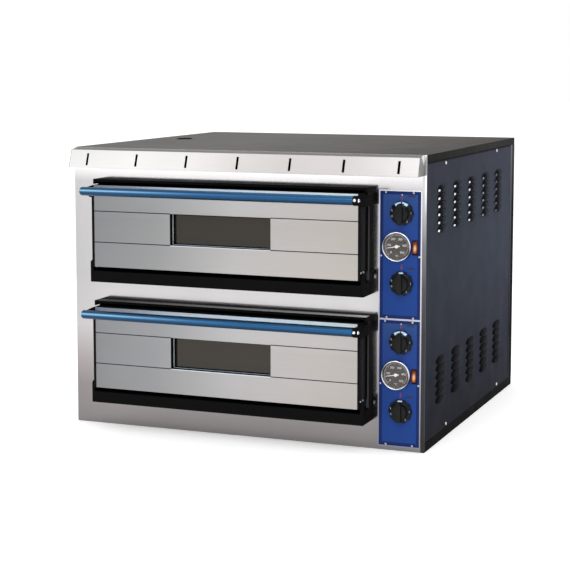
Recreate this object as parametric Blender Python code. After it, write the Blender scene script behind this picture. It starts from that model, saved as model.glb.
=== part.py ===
"""Double-deck electric pizza oven for a countertop, as separate parts with real joints.

Units are metres. +Z is up, the oven's front faces -Y, and the origin is the centre of the
flat underside that the oven stands on. Every deck is built by the same functions, one
DECK_PITCH above the other.
"""
import math

import bmesh
import bpy
from mathutils import Matrix, Vector

# Body
WIDTH, DEPTH, HEIGHT = 0.980, 0.910, 0.745
HALF_WIDTH = WIDTH / 2
FRONT_Y, BACK_Y = -DEPTH / 2, DEPTH / 2
SHEET = 0.002                 # casing panels
THIN_SHEET = 0.0015           # hood, chamber liner and door skins
GAP = 0.0003                  # clearance between neighbouring parts
BASE_HEIGHT = 0.025
LID_FLANGE = 0.019
DECK_PITCH = 0.323            # from the lower deck to the upper one

# Baking chamber, at the lower deck
CHAMBER_X = (-0.3805, 0.3195)
CHAMBER_Z = (0.132, 0.292)
CHAMBER_DEPTH = 0.700
LEDGE_WIDTH, LEDGE_TOP = 0.0145, 0.152
STONE_THICKNESS = 0.016
INSULATION = 0.034
ELEMENT_RADIUS = 0.004

# Door and the surround that it closes into
SURROUND_X = (-0.410, 0.350)
SURROUND_Z = (0.071, 0.3415)
SURROUND_WALL = 0.0045
SURROUND_BACK = 0.006
LEDGE_REACH, CHEEK_REACH, BROW_REACH = 0.065, 0.020, 0.046
DOOR_X = (-0.402, 0.342)
DOOR_Z = (0.112, 0.327)
DOOR_BACK, DOOR_FACE = 0.008, 0.068
DOOR_PLATE = 0.0055
WINDOW_X = (-0.1760, 0.1038)
WINDOW_Z = (0.1775, 0.2592)
WINDOW_RIM = 0.008
SEAM = 0.0012
HINGE_REACH, HINGE_Z, HINGE_RADIUS = 0.0575, 0.120, 0.004
HANDLE_REACH, HANDLE_Z, HANDLE_RADIUS = 0.118, 0.315, 0.0113
HANDLE_X = (-0.410, 0.3418)

# Controls, at the lower deck
PANEL_X = (0.371, 0.4775)
PANEL_Z = (0.0125, 0.332)
PANEL_FACE = GAP + SHEET
KNOB_X, KNOBS_Z = 0.428, {"floor_heat": 0.102, "ceiling_heat": 0.277}
KNOB_RADIUS, SHAFT_RADIUS = 0.030, 0.003
THERMOMETER_X, THERMOMETER_Z, BEZEL_RADIUS = 0.4160, 0.194, 0.038
NEEDLE_ANGLE = math.radians(190.0)
ROCKER_X, ROCKER_Z, ROCKER_SIZE = 0.463, 0.1925, (0.0118, 0.0295)
ROCKER_TILT = math.radians(8.0)

# Hood and top
HOOD_HALF = HALF_WIDTH - 0.0085
HOOD_SLOTS, HOOD_SLOT_PITCH = 7, 0.1435
STEAM_X, STEAM_Y, STEAM_RADIUS, STEAM_STRETCH = -0.392, 0.025, 0.016, 1.7

DECKS = {"lower": 0.0, "upper": DECK_PITCH}
ROUND = 24                    # sides of a round part


def ahead(reach):
    """The y of a point that lies `reach` in front of the fascia."""
    return FRONT_Y - reach


def material(name, colour, roughness, metallic):
    mat = bpy.data.materials.new(name)
    mat.use_nodes = True
    shader = mat.node_tree.nodes["Principled BSDF"]
    shader.inputs["Base Color"].default_value = (*colour, 1.0)
    shader.inputs["Roughness"].default_value = roughness
    shader.inputs["Metallic"].default_value = metallic
    return mat


def add_prism(bm, outline, axis, low, high):
    """Extrude a closed outline along an axis: 0 takes (y, z) points, 1 (x, z), 2 (x, y)."""
    def place(point, along):
        return Vector((point[:axis] + (along,) + point[axis:]))
    ends = []
    for along in (low, high):
        ends.append([bm.verts.new(place(tuple(point), along)) for point in outline])
    for ring in ends:
        bm.faces.new(ring)
    count = len(outline)
    for i in range(count):
        j = (i + 1) % count
        bm.faces.new((ends[0][i], ends[0][j], ends[1][j], ends[1][i]))


def add_box(bm, low, high):
    (x0, y0, z0), (x1, y1, z1) = low, high
    add_prism(bm, ((y0, z0), (y1, z0), (y1, z1), (y0, z1)), 0, x0, x1)


def add_turned(bm, profile, centre, axis, sides=ROUND):
    """Turn (radius, offset) points, which start and end on the axis, round X, Y or Z."""
    across = [i for i in range(3) if i != axis]
    rings = []
    for radius, offset in profile:
        if radius == 0.0:
            point = list(centre)
            point[axis] += offset
            rings.append([bm.verts.new(point)])
            continue
        ring = []
        for i in range(sides):
            angle = 2 * math.pi * i / sides
            point = list(centre)
            point[axis] += offset
            point[across[0]] += radius * math.cos(angle)
            point[across[1]] += radius * math.sin(angle)
            ring.append(bm.verts.new(point))
        rings.append(ring)
    for first, second in zip(rings, rings[1:]):
        for i in range(sides):
            j = (i + 1) % sides
            corners = [first[i % len(first)], first[j % len(first)],
                       second[j % len(second)], second[i % len(second)]]
            unique = list(dict.fromkeys(corners))
            bm.faces.new(unique)


def add_rod(bm, centre, axis, radius, low, high, sides=ROUND):
    add_turned(bm, ((0.0, low), (radius, low), (radius, high), (0.0, high)), centre, axis, sides)


def new_object(name, build):
    bm = bmesh.new()
    build(bm)
    bmesh.ops.recalc_face_normals(bm, faces=bm.faces)
    mesh = bpy.data.meshes.new(name)
    bm.to_mesh(mesh)
    bm.free()
    obj = bpy.data.objects.new(name, mesh)
    bpy.context.scene.collection.objects.link(obj)
    return obj


def combine(obj, operation, build, suffix):
    """Join a hidden shape to an object, or cut it away."""
    tool = new_object(obj.name + suffix, build)
    tool.hide_render = True
    tool.display_type = "WIRE"
    modifier = obj.modifiers.new(operation.title(), "BOOLEAN")
    modifier.operation = operation
    modifier.solver = "EXACT"
    modifier.object = tool


def part(name, mat, build, add=None, cut=None, smooth=False):
    obj = new_object(name, build)
    obj.data.materials.append(mat)
    if smooth:
        obj.data.shade_smooth()
        obj.data.set_sharp_from_angle(angle=math.radians(35.0))
    if add:
        combine(obj, "UNION", add, "_addition")
    if cut:
        combine(obj, "DIFFERENCE", cut, "_cutter")
    return obj


def hang_on_axis(name, pivot, parts):
    """Parent parts to an empty that stands on their joint's axis."""
    empty = bpy.data.objects.new(name, None)
    empty.location = pivot
    bpy.context.scene.collection.objects.link(empty)
    for obj in parts:
        obj.parent = empty
        obj.matrix_parent_inverse = Matrix.Translation(-Vector(pivot))


def boxes(*corners):
    """A builder that adds one box for each (low, high) pair of corners."""
    def build(bm):
        for low, high in corners:
            add_box(bm, low, high)
    return build


def raised(low, high, lift):
    """A box's two corners, moved up by a deck's height."""
    return ((low[0], low[1], low[2] + lift), (high[0], high[1], high[2] + lift))


# --- Casing ----------------------------------------------------------------------------

GLAND_X, GLAND_Z, GLAND_RADIUS = 0.400, 0.085, 0.012
LOUVRE_GROUPS = (             # first y, z of the lowest slot, column pitch, row pitch
    (0.138, 0.1093, 0.145, 0.0204),
    (0.138, 0.5495, 0.145, 0.0204),
)
LOUVRE_COLUMNS, LOUVRE_ROWS = 5, 6
LOUVRE_SLOT = (0.070, 0.006)


def make_base_tray(mat):
    low = (-HALF_WIDTH, FRONT_Y + SHEET + GAP, 0.0)
    high = (HALF_WIDTH, BACK_Y, BASE_HEIGHT)
    inside = ((low[0] + SHEET, low[1] + SHEET, SHEET), (high[0] - SHEET, high[1] - SHEET, 0.1))
    part("base_tray", mat, boxes((low, high)), cut=boxes(inside))


def make_fascia(mat):
    """Front sheet with a mouth and a control window for each deck."""
    through = (FRONT_Y - 0.01, FRONT_Y + 0.01)
    holes = []
    for lift in DECKS.values():
        holes.append(raised((CHAMBER_X[0], through[0], CHAMBER_Z[0]),
                            (CHAMBER_X[1], through[1], CHAMBER_Z[1]), lift))
        holes.append(raised((PANEL_X[0] + 0.009, through[0], PANEL_Z[0] + 0.011),
                            (PANEL_X[1] - 0.004, through[1], PANEL_Z[1] - 0.011), lift))
    sheet = ((-HALF_WIDTH, FRONT_Y, 0.0), (HALF_WIDTH, FRONT_Y + SHEET, HEIGHT - GAP))
    part("front_fascia", mat, boxes(sheet), cut=boxes(*holes))


def louvre_slots(side):
    """Through slots for the cooling louvres in one side panel."""
    slots = []
    length, height = LOUVRE_SLOT
    for first_y, first_z, column_pitch, row_pitch in LOUVRE_GROUPS:
        for column in range(LOUVRE_COLUMNS):
            for row in range(LOUVRE_ROWS):
                y = FRONT_Y + first_y + column * column_pitch
                z = first_z + row * row_pitch
                slots.append(((side * HALF_WIDTH - 0.01, y - length / 2, z - height / 2),
                              (side * HALF_WIDTH + 0.01, y + length / 2, z + height / 2)))
    return boxes(*slots)


def make_side_panel(name, side, mat):
    outer, inner = side * HALF_WIDTH, side * (HALF_WIDTH - SHEET)
    low = (min(outer, inner), FRONT_Y + SHEET + GAP, BASE_HEIGHT + GAP)
    high = (max(outer, inner), BACK_Y - SHEET - GAP, HEIGHT - LID_FLANGE - GAP)
    part(name, mat, boxes((low, high)), cut=louvre_slots(side))


def make_back_panel(mat):
    low = (-HALF_WIDTH, BACK_Y - SHEET, BASE_HEIGHT + GAP)
    high = (HALF_WIDTH, BACK_Y, HEIGHT - LID_FLANGE - GAP)
    part("back_panel", mat, boxes((low, high)), cut=lambda bm: add_rod(
        bm, (GLAND_X, BACK_Y, GLAND_Z), 1, GLAND_RADIUS + GAP, -0.01, 0.01, 16))


def make_cable_gland(mat):
    """Strain relief in the back panel; its dome nut has a bore for the supply lead."""
    profile = ((0.0, -0.018), (0.016, -0.018), (0.016, -SHEET - GAP), (GLAND_RADIUS, -SHEET - GAP),
               (GLAND_RADIUS, GAP), (0.016, GAP), (0.016, 0.008), (0.011, 0.016),
               (0.006, 0.016), (0.006, -0.010), (0.0, -0.010))
    part("cable_gland", mat, lambda bm: add_turned(
        bm, profile, (GLAND_X, BACK_Y, GLAND_Z), 1, 16), smooth=True)


def make_top_panel(mat):
    """Lid with a flange down each side, and a hole for the steam outlet."""
    low = (-HALF_WIDTH, FRONT_Y + SHEET + GAP, HEIGHT - LID_FLANGE)
    high = (HALF_WIDTH, BACK_Y, HEIGHT)

    def hollow(bm):
        add_box(bm, (low[0] + SHEET, low[1] + SHEET, low[2] - 0.01),
                (high[0] - SHEET, high[1] - SHEET, HEIGHT - SHEET))
    lid = part("top_panel", mat, boxes((low, high)), cut=hollow)
    combine(lid, "DIFFERENCE", lambda bm: add_prism(
        bm, steam_oval(STEAM_RADIUS), 2, HEIGHT - 0.01, HEIGHT + 0.01), "_outlet")


def steam_oval(radius):
    """Points round the steam outlet, which is longer from front to back."""
    angles = [2 * math.pi * i / ROUND for i in range(ROUND)]
    return [(STEAM_X + radius * math.cos(a), STEAM_Y + radius * STEAM_STRETCH * math.sin(a))
            for a in angles]


def make_steam_outlet(mat):
    """Collar that carries steam from the upper chamber's roof to the lid."""
    wall, flange = 0.0015, 0.022
    base = DECK_PITCH + CHAMBER_Z[1] + INSULATION + 2 * GAP + 2 * THIN_SHEET
    top = HEIGHT - SHEET - GAP
    outer = STEAM_RADIUS + wall
    profile = ((outer, 0.0), (flange, 0.0), (flange, wall), (outer, wall), (outer, top - base),
               (STEAM_RADIUS, top - base), (STEAM_RADIUS, 0.0))

    def build(bm):
        rings = [[bm.verts.new((x, y, base + offset)) for x, y in steam_oval(radius)]
                 for radius, offset in profile]
        for first, second in zip(rings, rings[1:] + rings[:1]):
            for i in range(ROUND):
                j = (i + 1) % ROUND
                bm.faces.new((first[i], first[j], second[j], second[i]))
    part("steam_outlet", mat, build, smooth=True)


def make_hood(mat):
    """Vented hood over the fascia: top plate, leaning face with slots, lip and cheeks."""
    crest, brow, lip = (ahead(0.030), HEIGHT - 0.005), (ahead(0.046), 0.693), 0.010
    outline = ((ahead(GAP), HEIGHT - GAP), crest, brow, (ahead(GAP), brow[1]))
    behind = FRONT_Y + 0.01
    inside = ((behind, HEIGHT - GAP - THIN_SHEET), (crest[0] + THIN_SHEET, crest[1] - THIN_SHEET),
              (brow[0] + THIN_SHEET, brow[1] + THIN_SHEET), (brow[0] + lip, brow[1] + THIN_SHEET),
              (brow[0] + lip, brow[1] - 0.01), (behind, brow[1] - 0.01))
    relief = ((behind, HEIGHT - GAP - THIN_SHEET), (crest[0] + THIN_SHEET, crest[1] - THIN_SHEET),
              (behind, HEIGHT - 0.020))
    hood = part("front_hood", mat,
                lambda bm: add_prism(bm, outline, 0, -HOOD_HALF, HOOD_HALF),
                cut=lambda bm: add_prism(bm, inside, 0, THIN_SHEET - HOOD_HALF,
                                         HOOD_HALF - THIN_SHEET))
    combine(hood, "DIFFERENCE", lambda bm: add_prism(bm, relief, 0, -HALF_WIDTH, HALF_WIDTH),
            "_relief")
    slots = []
    for i in range(HOOD_SLOTS):
        x = (i - HOOD_SLOTS // 2) * HOOD_SLOT_PITCH
        slots.append(((x - 0.0031, ahead(0.060), 0.700), (x + 0.0031, ahead(0.025), 0.731)))
    combine(hood, "DIFFERENCE", boxes(*slots), "_slots")


# --- Baking chamber --------------------------------------------------------------------

LAMP_Y, LAMP_Z, LAMP_RADIUS = 0.080, 0.240, 0.018
ELEMENTS_Z = {"floor": 0.142, "ceiling": 0.284}
ELEMENT_ROWS_Y = (-0.370, -0.200, -0.030, 0.140)
ELEMENT_TURNS_X = (-0.270, 0.210)
ELEMENT_END_X = 0.366


def right_wall_holes(lift):
    """Clearance holes in the chamber's right wall for the element ends and the lamp."""
    def build(bm):
        for z in ELEMENTS_Z.values():
            for y in (ELEMENT_ROWS_Y[0], ELEMENT_ROWS_Y[-1]):
                add_rod(bm, (CHAMBER_X[1], y, z + lift), 0, ELEMENT_RADIUS + 0.001,
                        -0.02, 0.06, 12)
        add_rod(bm, (CHAMBER_X[1], LAMP_Y, LAMP_Z + lift), 0, LAMP_RADIUS + 0.001,
                -0.02, 0.06, 16)
    return build


def make_chamber(deck, lift, steel, wool, stone, sheath, lamp):
    """Liner box, its insulation, the stone, both heating elements and the lamp."""
    back = FRONT_Y + SHEET + GAP + CHAMBER_DEPTH
    front = FRONT_Y + SHEET + GAP
    (x0, x1), (z0, z1) = CHAMBER_X, CHAMBER_Z
    t = THIN_SHEET
    liner = part(deck + "_chamber_liner", steel,
                 boxes(raised((x0 - t, front, z0 - t), (x1 + t, back + t, z1 + t), lift)),
                 cut=boxes(raised((x0, front - 0.01, LEDGE_TOP), (x1, back, z1), lift)))
    combine(liner, "DIFFERENCE", boxes(raised(
        (x0 + LEDGE_WIDTH, front - 0.01, z0), (x1 - LEDGE_WIDTH, back, LEDGE_TOP + 0.01), lift)),
        "_floor_bay")
    combine(liner, "DIFFERENCE", right_wall_holes(lift), "_wall_holes")

    near, far = t + GAP, t + GAP + INSULATION
    blanket = part(deck + "_insulation", wool,
                   boxes(raised((x0 - far, front + GAP, z0 - far),
                                (x1 + far, back + far, z1 + far), lift)),
                   cut=boxes(raised((x0 - near, front - 0.01, z0 - near),
                                    (x1 + near, back + near, z1 + near), lift)))
    combine(blanket, "DIFFERENCE", right_wall_holes(lift), "_wall_holes")

    part(deck + "_baking_stone", stone, boxes(raised(
        (x0 + 0.003, front + 0.006, LEDGE_TOP + GAP),
        (x1 - 0.003, back - 0.004, LEDGE_TOP + GAP + STONE_THICKNESS), lift)))

    for place, z in ELEMENTS_Z.items():
        make_element(deck + "_" + place + "_element", z + lift, sheath)

    profile = ((0.0, -0.008), (0.020, -0.008), (0.022, -0.005), (0.022, -GAP),
               (LAMP_RADIUS, -GAP), (LAMP_RADIUS, 0.046), (0.0, 0.046))
    part(deck + "_chamber_lamp", lamp, lambda bm: add_turned(
        bm, profile, (x1, LAMP_Y, LAMP_Z + lift), 0, 16), smooth=True)


def make_element(name, z, mat):
    """Sheathed heating rod: four runs joined by round turns, both ends at the right."""
    left, right = ELEMENT_TURNS_X
    radius = (ELEMENT_ROWS_Y[1] - ELEMENT_ROWS_Y[0]) / 2
    steps = 8
    points = [(ELEMENT_END_X, ELEMENT_ROWS_Y[0])]
    for run in range(len(ELEMENT_ROWS_Y) - 1):
        centre_x, side = (left, -1) if run % 2 == 0 else (right, 1)
        centre_y = ELEMENT_ROWS_Y[run] + radius
        for i in range(steps + 1):
            angle = -math.pi / 2 + math.pi * i / steps
            points.append((centre_x + side * radius * math.cos(angle),
                           centre_y + radius * math.sin(angle)))
    points.append((ELEMENT_END_X, ELEMENT_ROWS_Y[-1]))
    curve = bpy.data.curves.new(name, "CURVE")
    curve.dimensions = "3D"
    curve.bevel_depth = ELEMENT_RADIUS
    curve.bevel_resolution = 1
    curve.use_fill_caps = True
    curve.resolution_u = 1
    curve.render_resolution_u = 0
    spline = curve.splines.new("POLY")
    spline.points.add(len(points) - 1)
    for point, (x, y) in zip(spline.points, points):
        point.co = (x, y, z, 1.0)
    obj = bpy.data.objects.new(name, curve)
    obj.data.materials.append(mat)
    bpy.context.scene.collection.objects.link(obj)


# --- Door ------------------------------------------------------------------------------

def make_surround(deck, lift, mat):
    """Black frame round the mouth: bottom ledge with hinge ears, cheeks and a brow."""
    (x0, x1), (z0, z1) = SURROUND_X, SURROUND_Z
    brow_under = DOOR_Z[1] + 0.0074
    horn_under = brow_under - 0.0060      # the brow's ends reach down past the bay
    outline = [(GAP, z0), (LEDGE_REACH, z0), (LEDGE_REACH, HINGE_Z + 0.003),
               (LEDGE_REACH - 0.004, HINGE_Z + 0.008), (HINGE_REACH - 0.006, HINGE_Z + 0.008),
               (HINGE_REACH - 0.010, z0 + 0.033), (CHEEK_REACH, z0 + 0.037),
               (CHEEK_REACH, horn_under), (BROW_REACH, horn_under), (BROW_REACH, z1), (GAP, z1)]
    outline = [(ahead(reach), z + lift) for reach, z in outline]
    # The bay that the door fills is wide above the ears and narrow between them.
    surround = part(deck + "_door_surround", mat, lambda bm: add_prism(bm, outline, 0, x0, x1))
    ear_gap = 0.0005
    wide, narrow = SURROUND_WALL, DOOR_X[0] - x0 - ear_gap
    bay_floor = z0 + 0.029
    combine(surround, "DIFFERENCE", boxes(raised(
        (x0 + wide, ahead(0.2), HINGE_Z + 0.009), (x1 - wide, ahead(SURROUND_BACK), brow_under),
        lift)), "_bay")
    combine(surround, "DIFFERENCE", boxes(raised(
        (x0 + narrow, ahead(0.2), bay_floor), (x1 - narrow, ahead(SURROUND_BACK), HINGE_Z + 0.01),
        lift)), "_low_bay")
    combine(surround, "DIFFERENCE", boxes(
        raised((CHAMBER_X[0], ahead(0.05), CHAMBER_Z[0]),
               (CHAMBER_X[1], ahead(-0.05), CHAMBER_Z[1]), lift),
        raised((x0 + SHEET, ahead(LEDGE_REACH - SHEET), z0 + SHEET),
               (x1 - SHEET, ahead(-0.01), bay_floor - SHEET), lift)), "_mouth_and_ledge")
    combine(surround, "DIFFERENCE", lambda bm: add_rod(
        bm, (0.0, ahead(HINGE_REACH), HINGE_Z + lift), 0, HINGE_RADIUS + GAP,
        x0 + 0.001, x1 - 0.001, 16), "_pin_holes")


def make_door(deck, lift, black, steel, dark, wool, glass, blue):
    """The parts that swing with one door."""
    (x0, x1), (z0, z1) = DOOR_X, DOOR_Z
    (wx0, wx1), (wz0, wz1) = WINDOW_X, WINDOW_Z
    face_back = DOOR_FACE - THIN_SHEET
    rim = WINDOW_RIM

    def window_hole(margin):
        return raised((wx0 - margin, ahead(0.1), wz0 - margin),
                      (wx1 + margin, ahead(-0.02), wz1 + margin), lift)

    # Frame: a pan that is open at the back, with a plate at each end.
    frame = part(deck + "_door_frame", black,
                 boxes(raised((x0, ahead(DOOR_FACE + 0.002), z0), (x1, ahead(DOOR_BACK), z1), lift)),
                 cut=boxes(raised((x0 + DOOR_PLATE, ahead(0.1), z0 - 0.01),
                                  (x1 - DOOR_PLATE, ahead(face_back - GAP), z1 + 0.01), lift)))
    combine(frame, "DIFFERENCE", boxes(raised(
        (x0 + SHEET, ahead(face_back - GAP - SHEET), z0 + SHEET),
        (x1 - SHEET, ahead(-0.02), z1 - SHEET), lift)), "_pan")
    combine(frame, "DIFFERENCE", boxes(window_hole(rim + GAP)), "_window")
    combine(frame, "DIFFERENCE", lambda bm: add_rod(
        bm, (0.0, ahead(HINGE_REACH), HINGE_Z + lift), 0, HINGE_RADIUS + GAP,
        x0 - 0.01, x1 + 0.01, 16), "_pin_holes")

    # Front panel: one sheet with pressed seams that run on from the window's edges.
    seams = [raised((start, ahead(0.1), z - SEAM / 2),
                    (end, ahead(DOOR_FACE - THIN_SHEET / 2), z + SEAM / 2), lift)
             for z in WINDOW_Z for start, end in ((x0, wx0 + 0.001), (wx1 - 0.001, x1))]
    panel = part(deck + "_door_front_panel", steel, boxes(raised(
        (x0 + DOOR_PLATE + GAP, ahead(DOOR_FACE), z0), (x1 - DOOR_PLATE - GAP, ahead(face_back), z1),
        lift)), cut=boxes(*seams))
    combine(panel, "DIFFERENCE", boxes(window_hole(0.0)), "_window")

    inner_z0 = HINGE_Z + 0.006
    part(deck + "_door_insulation", wool, boxes(raised(
        (x0 + SHEET + GAP, ahead(face_back - SHEET - 2 * GAP), inner_z0),
        (x1 - SHEET - GAP, ahead(DOOR_BACK + THIN_SHEET + GAP), z1 - SHEET - GAP), lift)),
        cut=boxes(window_hole(rim + GAP)))
    part(deck + "_door_inner_panel", dark, boxes(raised(
        (x0 + SHEET + GAP, ahead(DOOR_BACK + THIN_SHEET), z0 + SHEET + GAP),
        (x1 - SHEET - GAP, ahead(DOOR_BACK), z1 - SHEET - GAP), lift)),
        cut=boxes(window_hole(rim + GAP)))

    # Window: a rim right through the door, with one thick pane set back in it.
    pane = (0.020, 0.025)
    window = part(deck + "_window_rim", black, boxes(raised(
        (wx0 - rim, ahead(face_back - GAP), wz0 - rim), (wx1 + rim, ahead(DOOR_BACK), wz1 + rim),
        lift)), cut=boxes(window_hole(0.0)))
    rebate = 0.004
    combine(window, "DIFFERENCE", boxes(raised(
        (wx0 - rebate, ahead(pane[1] + GAP), wz0 - rebate),
        (wx1 + rebate, ahead(pane[0] - GAP), wz1 + rebate), lift)), "_rebate")
    part(deck + "_door_glass", glass, boxes(raised(
        (wx0 - rebate + GAP, ahead(pane[1]), wz0 - rebate + GAP),
        (wx1 + rebate - GAP, ahead(pane[0]), wz1 + rebate - GAP), lift)))
    make_handle(deck, lift, black, blue)


def make_handle(deck, lift, black, blue):
    """Round bar, its left arm behind it, and its right arm with a cap on the bar's end."""
    axis_z = HANDLE_Z + lift
    start, end = HANDLE_X
    r = HANDLE_RADIUS
    crown = [(r * math.sin(a), -r * 0.7 * math.cos(a)) for a in
             (math.radians(angle) for angle in (0, 30, 60, 90))]
    profile = [(radius, start + 0.7 * r + offset) for radius, offset in crown]
    profile[0] = (0.0, profile[0][1])
    profile += [(r, end), (0.0, end)]
    part(deck + "_handle_bar", blue, lambda bm: add_turned(
        bm, profile, (0.0, ahead(HANDLE_REACH), axis_z), 0, 24), smooth=True)

    root = [(0.028, HANDLE_Z - 0.020), (0.028, HANDLE_Z + 0.009), (DOOR_FACE, HANDLE_Z + 0.010)]
    tip = HANDLE_REACH - r - GAP
    left = root + [(tip, HANDLE_Z + 0.006), (tip, HANDLE_Z - 0.006), (DOOR_FACE, HANDLE_Z - 0.020)]
    left = [(ahead(reach), z + lift) for reach, z in left]
    part(deck + "_handle_arm_left", black, lambda bm: add_prism(
        bm, left, 0, DOOR_X[0] - 0.005 - GAP, DOOR_X[0] - GAP))

    cap = []
    cap_radius = r + 0.001
    for i in range(17):
        angle = math.radians(120.0 - 240.0 * i / 16)
        cap.append((HANDLE_REACH + cap_radius * math.cos(angle),
                    HANDLE_Z + cap_radius * math.sin(angle)))
    right = root + cap + [(DOOR_FACE, HANDLE_Z - 0.020)]
    right = [(ahead(reach), z + lift) for reach, z in right]
    part(deck + "_handle_arm_right", black, lambda bm: add_prism(
        bm, right, 0, DOOR_X[1] + GAP, DOOR_X[1] + 0.012))


def make_hinge_rod(deck, lift, mat):
    part(deck + "_hinge_rod", mat, lambda bm: add_rod(
        bm, (0.0, ahead(HINGE_REACH), HINGE_Z + lift), 0, HINGE_RADIUS,
        SURROUND_X[0] + 0.0015, SURROUND_X[1] - 0.0015, 16), smooth=True)


# --- Controls --------------------------------------------------------------------------

def make_control_panel(deck, lift, mat):
    """Blue plate with holes for two shafts, the thermometer and the rocker."""
    def holes(bm):
        for z in KNOBS_Z.values():
            add_rod(bm, (KNOB_X, FRONT_Y, z + lift), 1, SHAFT_RADIUS + 0.0006, -0.01, 0.01, 16)
        add_rod(bm, (THERMOMETER_X, FRONT_Y, THERMOMETER_Z + lift), 1, 0.0305, -0.01, 0.01, 24)
        half_x, half_z = ROCKER_SIZE[0] / 2 + 0.0005, ROCKER_SIZE[1] / 2 + 0.0012
        add_box(bm, (ROCKER_X - half_x, ahead(0.01), ROCKER_Z + lift - half_z),
                (ROCKER_X + half_x, ahead(-0.01), ROCKER_Z + lift + half_z))
    part(deck + "_control_panel", mat, boxes(raised(
        (PANEL_X[0], ahead(PANEL_FACE), PANEL_Z[0]), (PANEL_X[1], ahead(GAP), PANEL_Z[1]),
        lift)), cut=holes)


def make_thermostat(deck, lift, heat, mat):
    """Capillary thermostat behind the panel, with the shaft that its knob sits on."""
    centre = (KNOB_X, FRONT_Y, KNOBS_Z[heat] + lift)
    part(deck + "_" + heat + "_thermostat", mat, boxes(
        ((centre[0] - 0.020, ahead(0.0), centre[2] - 0.018),
         (centre[0] + 0.020, ahead(-0.036), centre[2] + 0.018))),
        add=lambda bm: add_rod(bm, centre, 1, SHAFT_RADIUS, -0.015, 0.005, 16))


def make_knob(deck, lift, heat, mat):
    """Skirted knob with a bar grip, bored from the back for the shaft."""
    centre = (KNOB_X, FRONT_Y, KNOBS_Z[heat] + lift)
    back = -(PANEL_FACE + 0.0006)
    profile = ((0.0, back), (KNOB_RADIUS, back), (KNOB_RADIUS, -0.0060), (KNOB_RADIUS - 0.0015, -0.0075),
               (0.0215, -0.0085), (0.0195, -0.0200), (0.0180, -0.0215), (0.0, -0.0215))
    grip_half = 0.0075
    knob = part(deck + "_" + heat + "_knob", mat,
                lambda bm: add_turned(bm, profile, centre, 1), smooth=True,
                add=boxes(((centre[0] - grip_half, ahead(0.030), centre[2] - 0.0255),
                           (centre[0] + grip_half, ahead(0.0065), centre[2] + 0.0255))),
                cut=lambda bm: add_rod(bm, centre, 1, SHAFT_RADIUS + GAP, -0.017, 0.01, 16))
    hang_on_axis(knob.name + "_axis", centre, [knob])


def make_thermometer(deck, lift, chrome, white):
    """Dial case with a raised bezel, and the needle that turns in front of its face."""
    centre = (THERMOMETER_X, FRONT_Y, THERMOMETER_Z + lift)
    seat = -(PANEL_FACE + GAP)
    profile = ((0.0, 0.030), (0.029, 0.030), (0.029, seat), (BEZEL_RADIUS, seat),
               (BEZEL_RADIUS, -0.009), (BEZEL_RADIUS - 0.002, -0.0125), (BEZEL_RADIUS - 0.0035, -0.0125),
               (BEZEL_RADIUS - 0.005, -0.0095), (BEZEL_RADIUS - 0.005, -0.006), (0.0, -0.006))
    part(deck + "_thermometer", chrome, lambda bm: add_turned(bm, profile, centre, 1, 32), smooth=True)

    pointing = Vector((math.cos(NEEDLE_ANGLE), 0.0, math.sin(NEEDLE_ANGLE)))
    across = Vector((-pointing.z, 0.0, pointing.x))
    corners = ((-0.008, 0.0016), (0.027, 0.0005), (0.027, -0.0005), (-0.008, -0.0016))

    def pointer(bm):
        outline = [Vector(centre) + pointing * along + across * side for along, side in corners]
        add_prism(bm, [(p.x, p.z) for p in outline], 1, ahead(0.0085), ahead(0.0076))
    needle = part(deck + "_thermometer_needle", white, pointer, add=lambda bm: add_rod(
        bm, centre, 1, 0.0042, -0.0092, -0.0066, 20))
    hang_on_axis(needle.name + "_axis", centre, [needle])


def make_rocker(deck, lift, mat):
    """Power rocker, leaning in at the top: its lower half stands proud when switched on."""
    centre = Vector((ROCKER_X, ahead(0.001), ROCKER_Z + lift))
    half_x, half_z = ROCKER_SIZE[0] / 2, ROCKER_SIZE[1] / 2
    depth, face = 0.005, 0.0045
    turn = Matrix.Rotation(-ROCKER_TILT, 2)
    outline = [turn @ Vector(corner) for corner in
               ((depth, -half_z), (-face, -half_z), (-face, half_z), (depth, half_z))]
    rocker = part(deck + "_power_rocker", mat, lambda bm: add_prism(
        bm, [(centre.y + p.x, centre.z + p.y) for p in outline], 0,
        ROCKER_X - half_x, ROCKER_X + half_x))
    hang_on_axis(rocker.name + "_axis", centre, [rocker])


# --- The whole oven --------------------------------------------------------------------

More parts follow.
